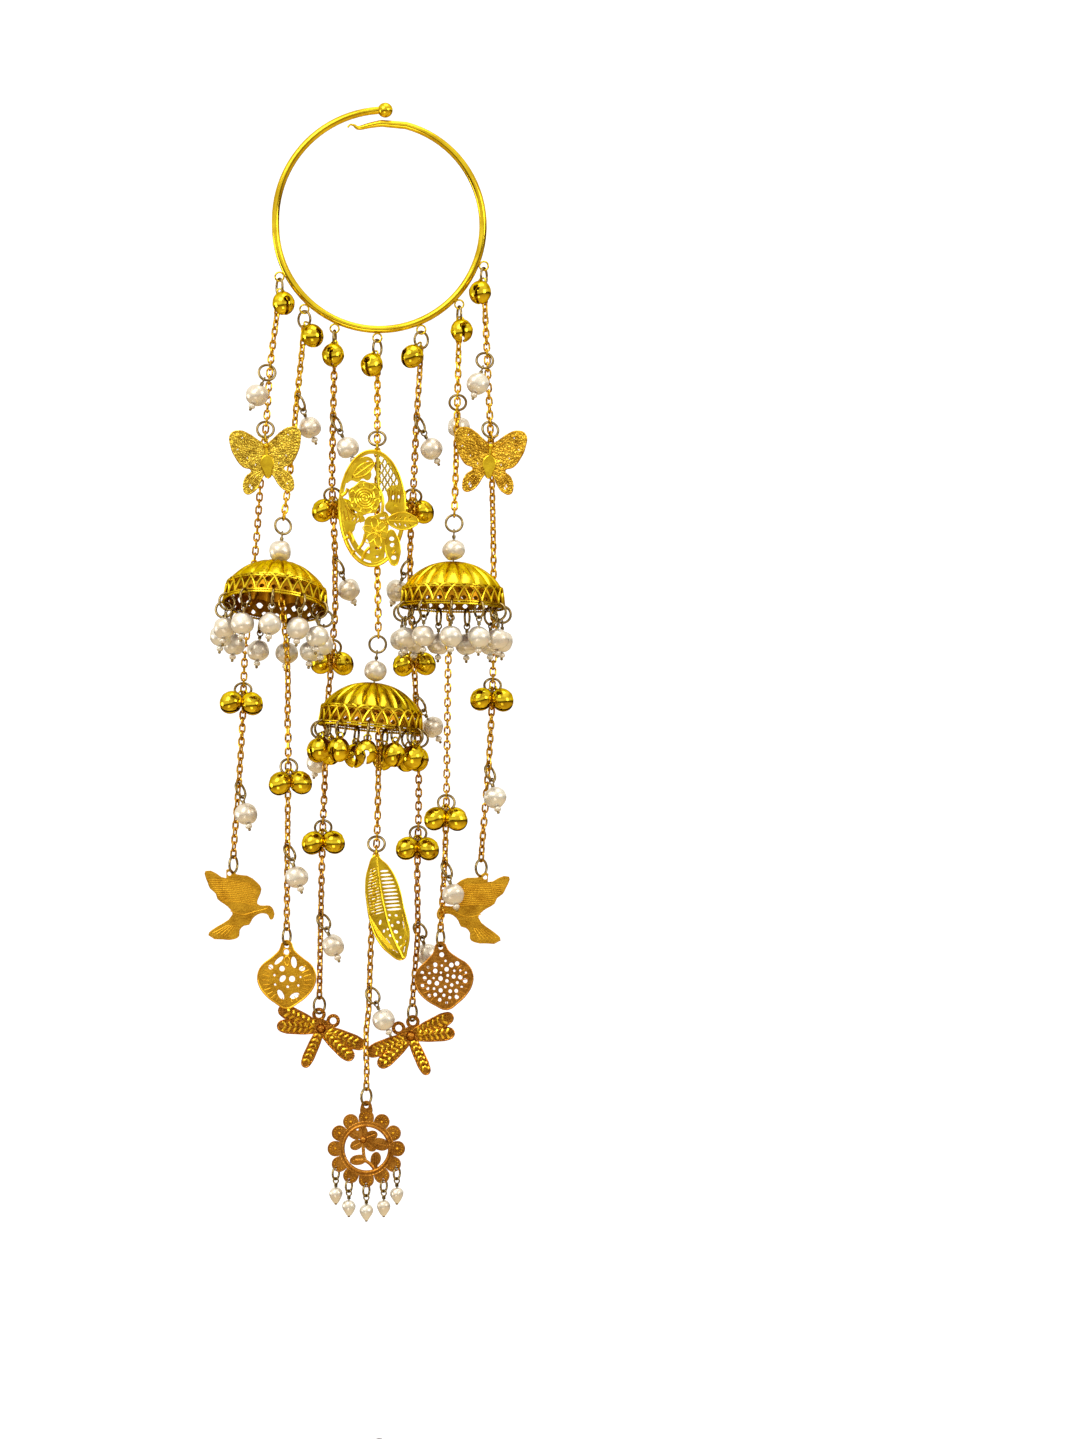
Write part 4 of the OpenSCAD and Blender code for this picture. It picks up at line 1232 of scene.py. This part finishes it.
class KALIRE_OT_oval(bpy.types.Operator):
    """Make the pierced oval with its rose, netting and leaves"""
    bl_idname = "kalire.oval"
    bl_label = "Oval charm"

    def execute(self, context):
        place = charm_frame("oval_charm") @ moved(-1.6, 0, -20.1)
        bm = bmesh.new()
        rim = ellipse(0, 0, 10.5, 18.5, 0, 24)
        add_plate(bm, [rim, ellipse(0, 0, 9.5, 17.5, 0, 24)], 0.7, place)
        raise_lines(bm, [rim], -0.2, 0.42, place, closed=True)
        self.netting(bm, place)
        self.ground(bm, place)
        self.rose(bm, place)
        self.leaf(bm, place @ moved(0, -0.5, 0), 9.8, -4.1, 2.8, 5.0, -92)
        self.leaf(bm, place @ moved(0, -0.45, 0), 6.6, -12.6, 2.4, 5.8, 6, True)
        self.leaf(bm, place @ moved(0, -0.3, 0), -2.6, 12.4, 1.7, 3.9, -55)
        self.flower(bm, place)
        self.scrolls(bm, place)
        add_loop(bm, place @ moved(1.6, 0, 19.75))
        charm_piece("oval_charm", bm, [plate("yellow"), plate("bright"), plate("recess"), plate("olive")])
        return {"FINISHED"}

    def netting(self, bm, place):
        """Waved wires that touch row by row and leave rounded meshes in the upper right."""
        rows = []
        for row in range(8):
            z = 6.1 + 1.5 * row
            line = []
            for k in range(9):
                x = 2.1 + 0.94 * k
                if (x / 9.9) ** 2 + (z / 17.9) ** 2 < 1:
                    line.append((x, z + 0.72 * (-1) ** (k + row)))
            if len(line) > 2:
                rows.append(line)
        start = len(bm.faces)
        raise_lines(bm, rows, -0.05, 0.34, place)
        raise_lines(bm, [[(1.9, 17.2), (1.7, 11), (2, 7)]], -0.1, 0.5, place)
        paint(bm, start, 3)

    def ground(self, bm, place):
        """The closed parts of the plate between its large openings, with pressed lines on the left one; the
        lines are raised wires in painted shade, a dark colour standing in for the shade in their grooves.
        """
        upper = [(-8.4, 8.2), (-7.4, 11), (-5.7, 13.7), (-3.8, 15.9), (-1.2, 16.4), (0.5, 14.6), (-0.6, 13),
                 (-0.3, 10.4), (-1.4, 9), (-3, 9.6), (-4.6, 8.5), (-6.6, 9)]
        right = [(5, 6.3), (9.8, 6.6), (10.3, 0), (9.6, -2.2), (5, -1), (4.2, 0.6), (5.2, 2.6)]
        left = [(-9.9, 3), (-8.2, 1.6), (-6.6, -1.2), (-3.4, -2), (-2.4, -3.9), (-4.9, -4.6), (-6.1, -7.4),
                (-8.9, -8.2), (-9.9, -4), (-10, -0.5)]
        lower = [(-1.6, -3), (1, -2.3), (4.4, -1.2), (5.2, -5), (4.6, -9.6), (4.1, -13.6), (2.8, -17.4),
                 (0.3, -17.7), (-0.7, -14.6), (-0.9, -11), (-2.1, -9), (-2.5, -6)]
        right_holes = ((6.8, 3.5, 0.55, 0.8), (8.5, 3.7, 0.45, 0.65), (7.4, 0.9, 0.8, 0.35))
        left_holes = [(-8.3 + 1.2 * k, -3.1 - 0.2 * k, 0.17, 0.9, -34, 6) for k in range(4)]
        lower_holes = ((3.3, -3.1, 0.9, 0.45, 0), (1.9, -12.6, 1.2, 0.6, 10), (1.3, -15.4, 0.8, 0.5, 0))
        add_plate(bm, [upper, ellipse(-1, 14.9, 0.9, 0.35, -10)], 0.6, place)
        add_plate(bm, [right] + ellipses(right_holes), 0.62, place)
        add_plate(bm, [left] + ellipses(left_holes), 0.66, place)
        add_plate(bm, [lower] + ellipses(lower_holes), 0.64, place)
        band = []
        turns = [math.radians(202 + 9 * k) for k in range(9)]
        for rx, rz, order in ((9, 16.7, turns), (7.5, 14.6, turns[::-1])):
            band += [(rx * math.cos(a), rz * math.sin(a)) for a in order]
        add_plate(bm, [band], 0.58, place)
        # The lines get the painted shade gold: dark wires standing in for shaded grooves and slits.
        start = len(bm.faces)
        lines = [[(-9 + 1.2 * k, -0.8 - 0.3 * k), (-8.4 + 1.2 * k, -4 - 0.2 * k)] for k in range(5)]
        lines += [[(-8.6 + 0.9 * k, 1 - 0.9 * k), (-7.6 + 0.9 * k, -1.2 - 0.5 * k)] for k in range(4)]
        raise_lines(bm, lines, -0.36, 0.16, place, smooth=False)
        lines = [[(-6.4 + 1.4 * k, 9.6 + 0.3 * k), (-5.6 + 1.3 * k, 11.6 + 0.3 * k)] for k in range(4)]
        raise_lines(bm, lines, -0.32, 0.16, place, smooth=False)
        lines = [[(5.6 + 0.9 * k, 5.8 - 0.1 * k), (5.2 + 0.9 * k, 2.2 - 0.1 * k)] for k in range(5)]
        raise_lines(bm, lines, -0.34, 0.16, place, smooth=False)
        paint(bm, start, 2)

    def rose(self, bm, place):
        """A raised rose of one coiled wire inside a ring of petals, with creases darkened by painted shade.
        """
        middle = (-2.3, 3.3)
        turns = [math.tau * k / 28 for k in range(28)]
        add_plate(bm, [[polar(*middle, 5.3 + 0.35 * math.cos(7 * a), a) for a in turns]], 0.74, place)
        start = len(bm.faces)
        coil = [polar(*middle, 0.35 + 3.3 * k / 60, k * 0.42) for k in range(60)]
        raise_lines(bm, [coil], -0.45, 0.3, place, detail=2)
        for k in range(7):
            a = math.radians(51.4 * k + 20)
            petal = ellipse(*polar(*middle, 4, a), 0.95, 1.9, math.degrees(a), 8)
            raise_lines(bm, [petal], -0.38, 0.24, place, closed=True)
        paint(bm, start, 1)
        # The creases get the painted shade gold: a dark colour standing in for the shade in them.
        start = len(bm.faces)
        creases = []
        for k in range(14):
            a = math.radians(25.7 * k + 20)
            creases.append([polar(*middle, r, a + 0.1 * r) for r in (1.4, 2.6, 4.4)])
        raise_lines(bm, creases, -0.36, 0.13, place, detail=2)
        paint(bm, start, 2)

    def leaf(self, bm, place, x, z, rx, rz, turn, round_holes=False):
        """A pointed leaf with slits beside its vein, or with a row of round holes in its place."""
        c, s = math.cos(math.radians(turn)), math.sin(math.radians(turn))

        def at(points):
            return [(x + a * c - b * s, z + a * s + b * c) for a, b in points]

        half = [(rx * 0.75, -rz * 0.55), (rx, 0), (rx * 0.7, rz * 0.6)]
        shape = at([(0, -rz)] + half + [(0, rz)] + mirrored(reversed(half)))
        if round_holes:
            middles = at([(0, rz * k) for k in (-0.55, -0.2, 0.15, 0.5)])
            holes = [ellipse(*middle, 0.85, 0.72) for middle in middles]
        else:
            holes = []
            for k in (-0.45, -0.15, 0.15, 0.45):
                for side in (1, -1):
                    middle = at([(side * rx * 0.42, rz * k)])[0]
                    holes.append(ellipse(*middle, rx * 0.27, 0.22, turn + side * 40, 6))
            raise_lines(bm, [at([(0, -rz * 0.9), (0, rz * 0.9)])], -0.25, 0.22, place, smooth=False)
        add_plate(bm, [shape] + holes, 0.5, place, detail=3, edge=0.08)
        raise_lines(bm, [shape], -0.22, 0.24, place, closed=True)

    def flower(self, bm, place):
        """The raised petals and grains of the lower part."""
        cx, cz = 1.3, -7.6
        for k in range(6):
            turn = 60 * k + 12
            a = math.radians(turn + 90)
            petal = ellipse(cx + 2.2 * math.cos(a), cz + 2.7 * math.sin(a), 1.05, 2.2, turn)
            raise_lines(bm, [petal], -0.34, 0.22, place, closed=True)
        start = len(bm.faces)
        scatter(bm, place, (cx, -0.36, cz), 40, 0.3, 0.24)
        scatter(bm, place, (5, -0.5, -3.6), 30, 0.42, 0.24, 0.7)
        paint(bm, start, 1)

    def scrolls(self, bm, place):
        """The bars between the closed parts and the rim."""
        bars = [[(-2.2, -8.2), (-2.9, -11), (-4.4, -13)], [(-0.8, -12.4), (-2.2, -14), (-3.2, -16.4)],
                [(-7.6, -7.4), (-6.3, -9.4), (-6.2, -11)], [(-7.6, -9.2), (-8.4, -9.6), (-9.2, -10)],
                [(-5.6, -13.4), (-6, -14.2), (-6.6, -15)], [(-7.8, 6.4), (-8.4, 5), (-9.6, 4)],
                [(2, 7), (3.4, 3), (3.2, -1.6)]]
        raise_lines(bm, bars, -0.1, 0.6, place)


FEATHER = [(0, -1.2), (1.4, -2.6), (3.6, -4.6), (6, -8.4), (7.6, -13), (8.4, -17), (9.4, -21),
           (10.4, -25.6), (9.8, -31), (8.4, -34.4), (4, -32.4), (0.6, -28.6), (-1.8, -23), (-3, -16.4),
           (-3.4, -11), (-2.6, -5.6)]
SPINE = [(0, -1.6), (0.8, -9), (2.2, -17), (4.6, -25.6), (8.4, -34)]


class KALIRE_OT_feather(bpy.types.Operator):
    """Make the feather of barbs on a curved quill"""
    bl_idname = "kalire.feather"
    bl_label = "Feather"

    def execute(self, context):
        place = charm_frame("feather")
        bm = bmesh.new()
        add_plate(bm, [FEATHER] + self.windows(), 0.55, place)
        raise_lines(bm, [FEATHER], -0.1, 0.3, place, closed=True, detail=5)
        raise_lines(bm, [SPINE], -0.3, 0.42, place, detail=6)
        lines = []
        for k in range(5):
            lines.append([(8.2 + 0.25 * k, -20 - k), (9 + 0.1 * k, -25 - k),
                          (8.4 - 0.3 * k, -31.5 + 0.2 * k)])
            lines.append([(-2.2 + 0.6 * k, -20.5 - k), (0.4 + 0.7 * k, -26.5 - 0.5 * k),
                          (4 + 0.6 * k, -31 - 0.2 * k)])
        raise_lines(bm, lines, -0.3, 0.16, place, detail=4)
        add_loop(bm, place @ moved(0, 0, -0.35))
        charm_piece("feather", bm, [plate("yellow")])
        return {"FINISHED"}

    def windows(self):
        """Slits on the left, wide windows on the right, and holes and edge slits in the lower half."""
        right = FEATHER[:10]
        left = FEATHER[:1] + FEATHER[:9:-1]
        found = []
        for k in range(16):
            z = -5.2 - 0.95 * k
            a, b = across(left, z - 0.9) + 0.5, across(SPINE, z) - 0.5
            rise = math.degrees(math.atan2(1.1, b - a))
            found.append(ellipse((a + b) / 2, z - 0.34, math.hypot(1.1, b - a) / 2, 0.22, rise))
        for k in range(11):
            z = -6.3 - 1.22 * k
            a, b = across(SPINE, z) + 0.55, across(right, z) - 0.8
            found.append(ellipse((a + b) / 2, z + 0.05, (b - a) / 2, 0.4, 4, 12))
        holes = ((4.2, -20.3, 0.5, 0.42), (6.3, -20.4, 0.55, 0.42), (3.9, -21.9, 0.5, 0.42),
                 (6.9, -22.6, 0.6, 0.5), (5, -23.6, 0.5, 0.5), (3.6, -24.8, 0.42, 0.42),
                 (6.2, -25.6, 0.75, 0.6), (4.4, -26.8, 0.5, 0.5), (7.7, -27.4, 0.4, 0.5),
                 (6.2, -28.8, 0.8, 0.6), (7.9, -30.4, 0.45, 0.6), (1.2, -22.6, 0.45, 0.9),
                 (2.4, -25.4, 0.4, 0.6))
        edges = ((8.7, -23.6, 0.2, 1.6, 12), (9.2, -27.6, 0.2, 1.6, 2), (8.9, -31.2, 0.18, 1.2, -12),
                 (0.9, -25.8, 0.2, 1.5, 28), (2.6, -28.6, 0.2, 1.6, 36), (4.9, -31, 0.2, 1.3, 48),
                 (3.7, -28.4, 0.15, 1.3, 36), (6.2, -31.8, 0.15, 1, 44))
        return found + ellipses(edges, 6) + ellipses(holes, -15)


class KALIRE_OT_sun(bpy.types.Operator):
    """Make the scalloped disc with a flower in its opening"""
    bl_idname = "kalire.sun"
    bl_label = "Sun disc"

    def execute(self, context):
        place = charm_frame("sun_disc")
        bm = bmesh.new()
        reach, opening, middle = 10.1, 7.0, -14.0
        holes = [ellipse(0, middle, opening, opening, 0, 20)]
        for degrees in (212, 241, 270, 299, 328):
            holes.append(ellipse(*polar(0, middle, reach + 1.4, math.radians(degrees)), 0.62, 0.62))
        add_plate(bm, [self.scallops(reach, middle)] + holes, 0.7, place, detail=3)
        tab = [(-1.5, -2.9), (1.5, -2.9), (1.7, -0.4), (0.9, 1), (-0.9, 1), (-1.7, -0.4)]
        add_plate(bm, [tab, ellipse(0, -0.35, 0.8, 0.8)], 0.78, place)
        rim = place @ moved(0, -0.2, middle)
        stamp(bm, ring_template(opening + 0.5, 1.1, 60, 8), rim)
        stamp(bm, ring_template(opening + 1.6, 0.6, 96, 6, 0.6), rim)
        start = len(bm.faces)
        for k in range(12):
            self.scallop_grains(bm, place, math.radians(30 * k), reach, middle)
        paint(bm, start, 1)
        self.flower(bm, place @ moved(0, 0, middle))
        charm_piece("sun_disc", bm, [plate("dark"), plate("charm")], SUN_BODY)
        return {"FINISHED"}

    def scallops(self, reach, middle):
        points = []
        for k in range(12):
            turn = math.radians(30 * k)
            points.append(polar(0, middle, reach - 1.3, turn - math.radians(15)))
            lobe = polar(0, middle, reach - 0.2, turn)
            points += [polar(*lobe, 2.4, turn + math.radians(35 * step)) for step in range(-3, 4)]
        return points

    def scallop_grains(self, bm, place, turn, reach, middle):
        """A half ring of grains on one scallop, and a knob on those that carry no ring."""
        cx, cz = polar(0, middle, reach - 0.2, turn)
        for k in range(7):
            x, z = polar(cx, cz, 1.55, turn + math.radians(-90 + 30 * k))
            add_ball(bm, 0.34, place, (x, -0.35, z), 1)
        if math.sin(turn) >= -0.3:
            add_ball(bm, 0.55, place, (cx, -0.3, cz))

    def flower(self, bm, place):
        """A flower and a bent stem with leaves, held to the opening by their tips."""
        leaves = ((-1.1, 5.2, 1.1, 1.9, 0), (-3.8, 4.6, 1.05, 2.1, 62), (-3.2, 1.2, 1.1, 1.9, 118),
                  (1.3, 0.9, 1.1, 2, -130), (1.5, 4.1, 1.1, 2, -68), (4.5, 1.4, 1.4, 2.7, -104),
                  (-2.6, -3.6, 1.15, 2.5, -82), (3, -3.3, 1.15, 2.1, -10))
        for x, z, rx, rz, turn in leaves:
            add_plate(bm, [ellipse(x, z, rx * 1.35, rz * 1.05, turn)], 0.6 + 0.01 * abs(x), place)
            dx, dz = rz * 0.7 * math.sin(math.radians(turn)), rz * 0.7 * math.cos(math.radians(turn))
            raise_lines(bm, [[(x + dx, z - dz), (x - dx, z + dz)]], -0.32, 0.16, place, smooth=False)
        add_ball(bm, 1.2, place, (-1, -0.1, 2.9))
        stems = [[(-1, 2.9), (-0.9, -1.2), (-0.6, -3.6)], [(-3.6, -3.7), (0, -4), (3, -6.9)],
                 [(3, -1.6), (3, -6.9)], [(-1.1, 6.2), (-1.1, 7.3)], [(-5, 5.2), (-5.8, 5)],
                 [(6.6, 1), (7.3, 0.8)]]
        raise_lines(bm, stems, 0, 0.62, place)


# Stage

class KALIRE_OT_stage(bpy.types.Operator):
    """Make the pale backdrop, the soft lights and the camera"""
    bl_idname = "kalire.stage"
    bl_label = "Stage"

    def execute(self, context):
        self.backdrop()
        self.light("key", (-0.8, -1.2, 1.0), 0.9, 13)
        self.light("fill", (1.3, -1.0, 0.3), 0.6, 6)
        self.light("low", (-0.3, -1.5, -1.2), 0.7, 3)
        self.light("top", (0.2, -0.1, 1.3), 0.8, 7)
        self.light("side", (-1.3, 0.0, -0.3), 0.5, 4)
        self.world()
        bpy.context.scene.view_settings.view_transform = "Standard"
        self.camera()
        return {"FINISHED"}

    def world(self):
        """A room that is bright above, dark at eye level and warm below."""
        world = bpy.data.worlds.new("studio")
        world.use_nodes = True
        tree = world.node_tree
        background = tree.nodes["Background"]
        place, parts = add_node(tree, "TexCoord"), add_node(tree, "SeparateXYZ")
        height = add_node(tree, "MapRange", {"From Min": -1})
        ramp = add_ramp(tree, (
            (0, (0.85, 0.64, 0.3)), (0.34, (0.5, 0.34, 0.15)), (0.42, (0.03, 0.018, 0.01)),
            (0.475, (0.16, 0.1, 0.05)), (0.5, (0.8, 0.74, 0.62)), (0.58, (1, 0.97, 0.9)),
            (0.7, (0.72, 0.62, 0.45)), (0.8, (1, 0.97, 0.9))))
        tilt = add_node(tree, "Math", {1: -0.14})
        tilt.operation = "MULTIPLY_ADD"
        join(tree, (place, "Generated", parts, "Vector"), (parts, "X", tilt, 0), (parts, "Z", tilt, 2),
             (tilt, "Value", height, "Value"), (height, "Result", ramp, "Fac"),
             (ramp, "Color", background, "Color"))
        fill(background, {"Strength": 1.15})
        bpy.context.scene.world = world

    def backdrop(self):
        """A round floor that curves up into a wall on every side."""
        floor, wall, bend = -0.42, 2.7, 0.6
        line = [(0.001, floor)]
        for k in range(9):
            a = math.radians(-90 + 90 * k / 8)
            line.append((wall - bend + bend * math.cos(a), floor + bend + bend * math.sin(a)))
        line.append((wall, 2.6))
        bm = bmesh.new()
        verts = [bm.verts.new((r, 0, z)) for r, z in line]
        edges = [bm.edges.new(pair) for pair in zip(verts, verts[1:])]
        spin(bm, verts, edges, (0, 0, 1), 64)
        for face in bm.faces:
            face.smooth = True
        mesh = bpy.data.meshes.new("backdrop")
        bm.to_mesh(mesh)
        bm.free()
        paper = new_material("white_paper", {"Base Color": (0, 0, 0, 1), "Specular IOR Level": 0,
                                             "Emission Color": (1, 1, 1, 1), "Emission Strength": 1.2})[0]
        paper.cycles.emission_sampling = "NONE"
        mesh.materials.append(paper)
        obj = show(bpy.data.objects.new("backdrop", mesh))
        obj.visible_glossy = False
        obj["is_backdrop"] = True

    def light(self, name, place, size, power):
        data = bpy.data.lights.new(name, "AREA")
        data.size = size
        data.energy = power
        obj = show(bpy.data.objects.new(name, data))
        obj.location = place
        aim = Vector((0, 0, -0.17)) - Vector(place)
        obj.rotation_euler = aim.to_track_quat("-Z", "Y").to_euler()

    def camera(self):
        """A long lens, level and straight on, framed as the photograph is."""
        distance = 1.7
        across_by, down_by = (middle - at for middle, at in zip(PHOTO_MIDDLE, PHOTO_ORIGIN))
        data = bpy.data.cameras.new("camera")
        data.sensor_fit = "VERTICAL"
        data.sensor_height = 24
        data.lens = data.sensor_height * distance / (2 * PHOTO_MIDDLE[1] * PIXEL)
        obj = show(bpy.data.objects.new("camera", data))
        obj.location = (across_by * PIXEL, -distance, -down_by * PIXEL)
        obj.rotation_euler = (math.pi / 2, 0, 0)
        bpy.context.scene.camera = obj


OPERATORS = (KALIRE_OT_bangle, KALIRE_OT_chains, KALIRE_OT_rings, KALIRE_OT_bells, KALIRE_OT_pearls,
             KALIRE_OT_umbrellas, KALIRE_OT_butterflies, KALIRE_OT_birds, KALIRE_OT_leaves,
             KALIRE_OT_dragonflies, KALIRE_OT_oval, KALIRE_OT_feather, KALIRE_OT_sun, KALIRE_OT_stage)


class KALIRE_PT_panel(bpy.types.Panel):
    """Sizes, colours and pieces of the ornament"""
    bl_idname = "KALIRE_PT_panel"
    bl_label = "Kalire ornament"
    bl_space_type = "VIEW_3D"
    bl_region_type = "UI"
    bl_category = "Kalire"

    def draw(self, context):
        for group in (context.scene.kalire_sizes, context.scene.kalire_colours):
            for name in group.__annotations__:
                self.layout.prop(group, name)
        for operator in OPERATORS:
            self.layout.operator(operator.bl_idname)


CLASSES = (KalireSizes, KalireColours, *OPERATORS, KALIRE_PT_panel)


def register():
    for made in CLASSES:
        bpy.utils.register_class(made)
    bpy.types.Scene.kalire_sizes = bpy.props.PointerProperty(type=KalireSizes)
    bpy.types.Scene.kalire_colours = bpy.props.PointerProperty(type=KalireColours)


def unregister():
    del bpy.types.Scene.kalire_colours
    del bpy.types.Scene.kalire_sizes
    for made in reversed(CLASSES):
        bpy.utils.unregister_class(made)


def main():
    register()
    bpy.ops.kalire.bangle()
    bpy.ops.kalire.chains()
    bpy.ops.kalire.rings()
    bpy.ops.kalire.bells()
    bpy.ops.kalire.pearls()
    bpy.ops.kalire.umbrellas()
    bpy.ops.kalire.butterflies()
    bpy.ops.kalire.birds()
    bpy.ops.kalire.leaves()
    bpy.ops.kalire.dragonflies()
    bpy.ops.kalire.oval()
    bpy.ops.kalire.feather()
    bpy.ops.kalire.sun()
    bpy.ops.kalire.stage()
    boxes = {"cad": CAD_BOX, "visual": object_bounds()}
    boxes = {name: [list(corner) for corner in box] for name, box in boxes.items()}


if __name__ == "__main__":
    main()
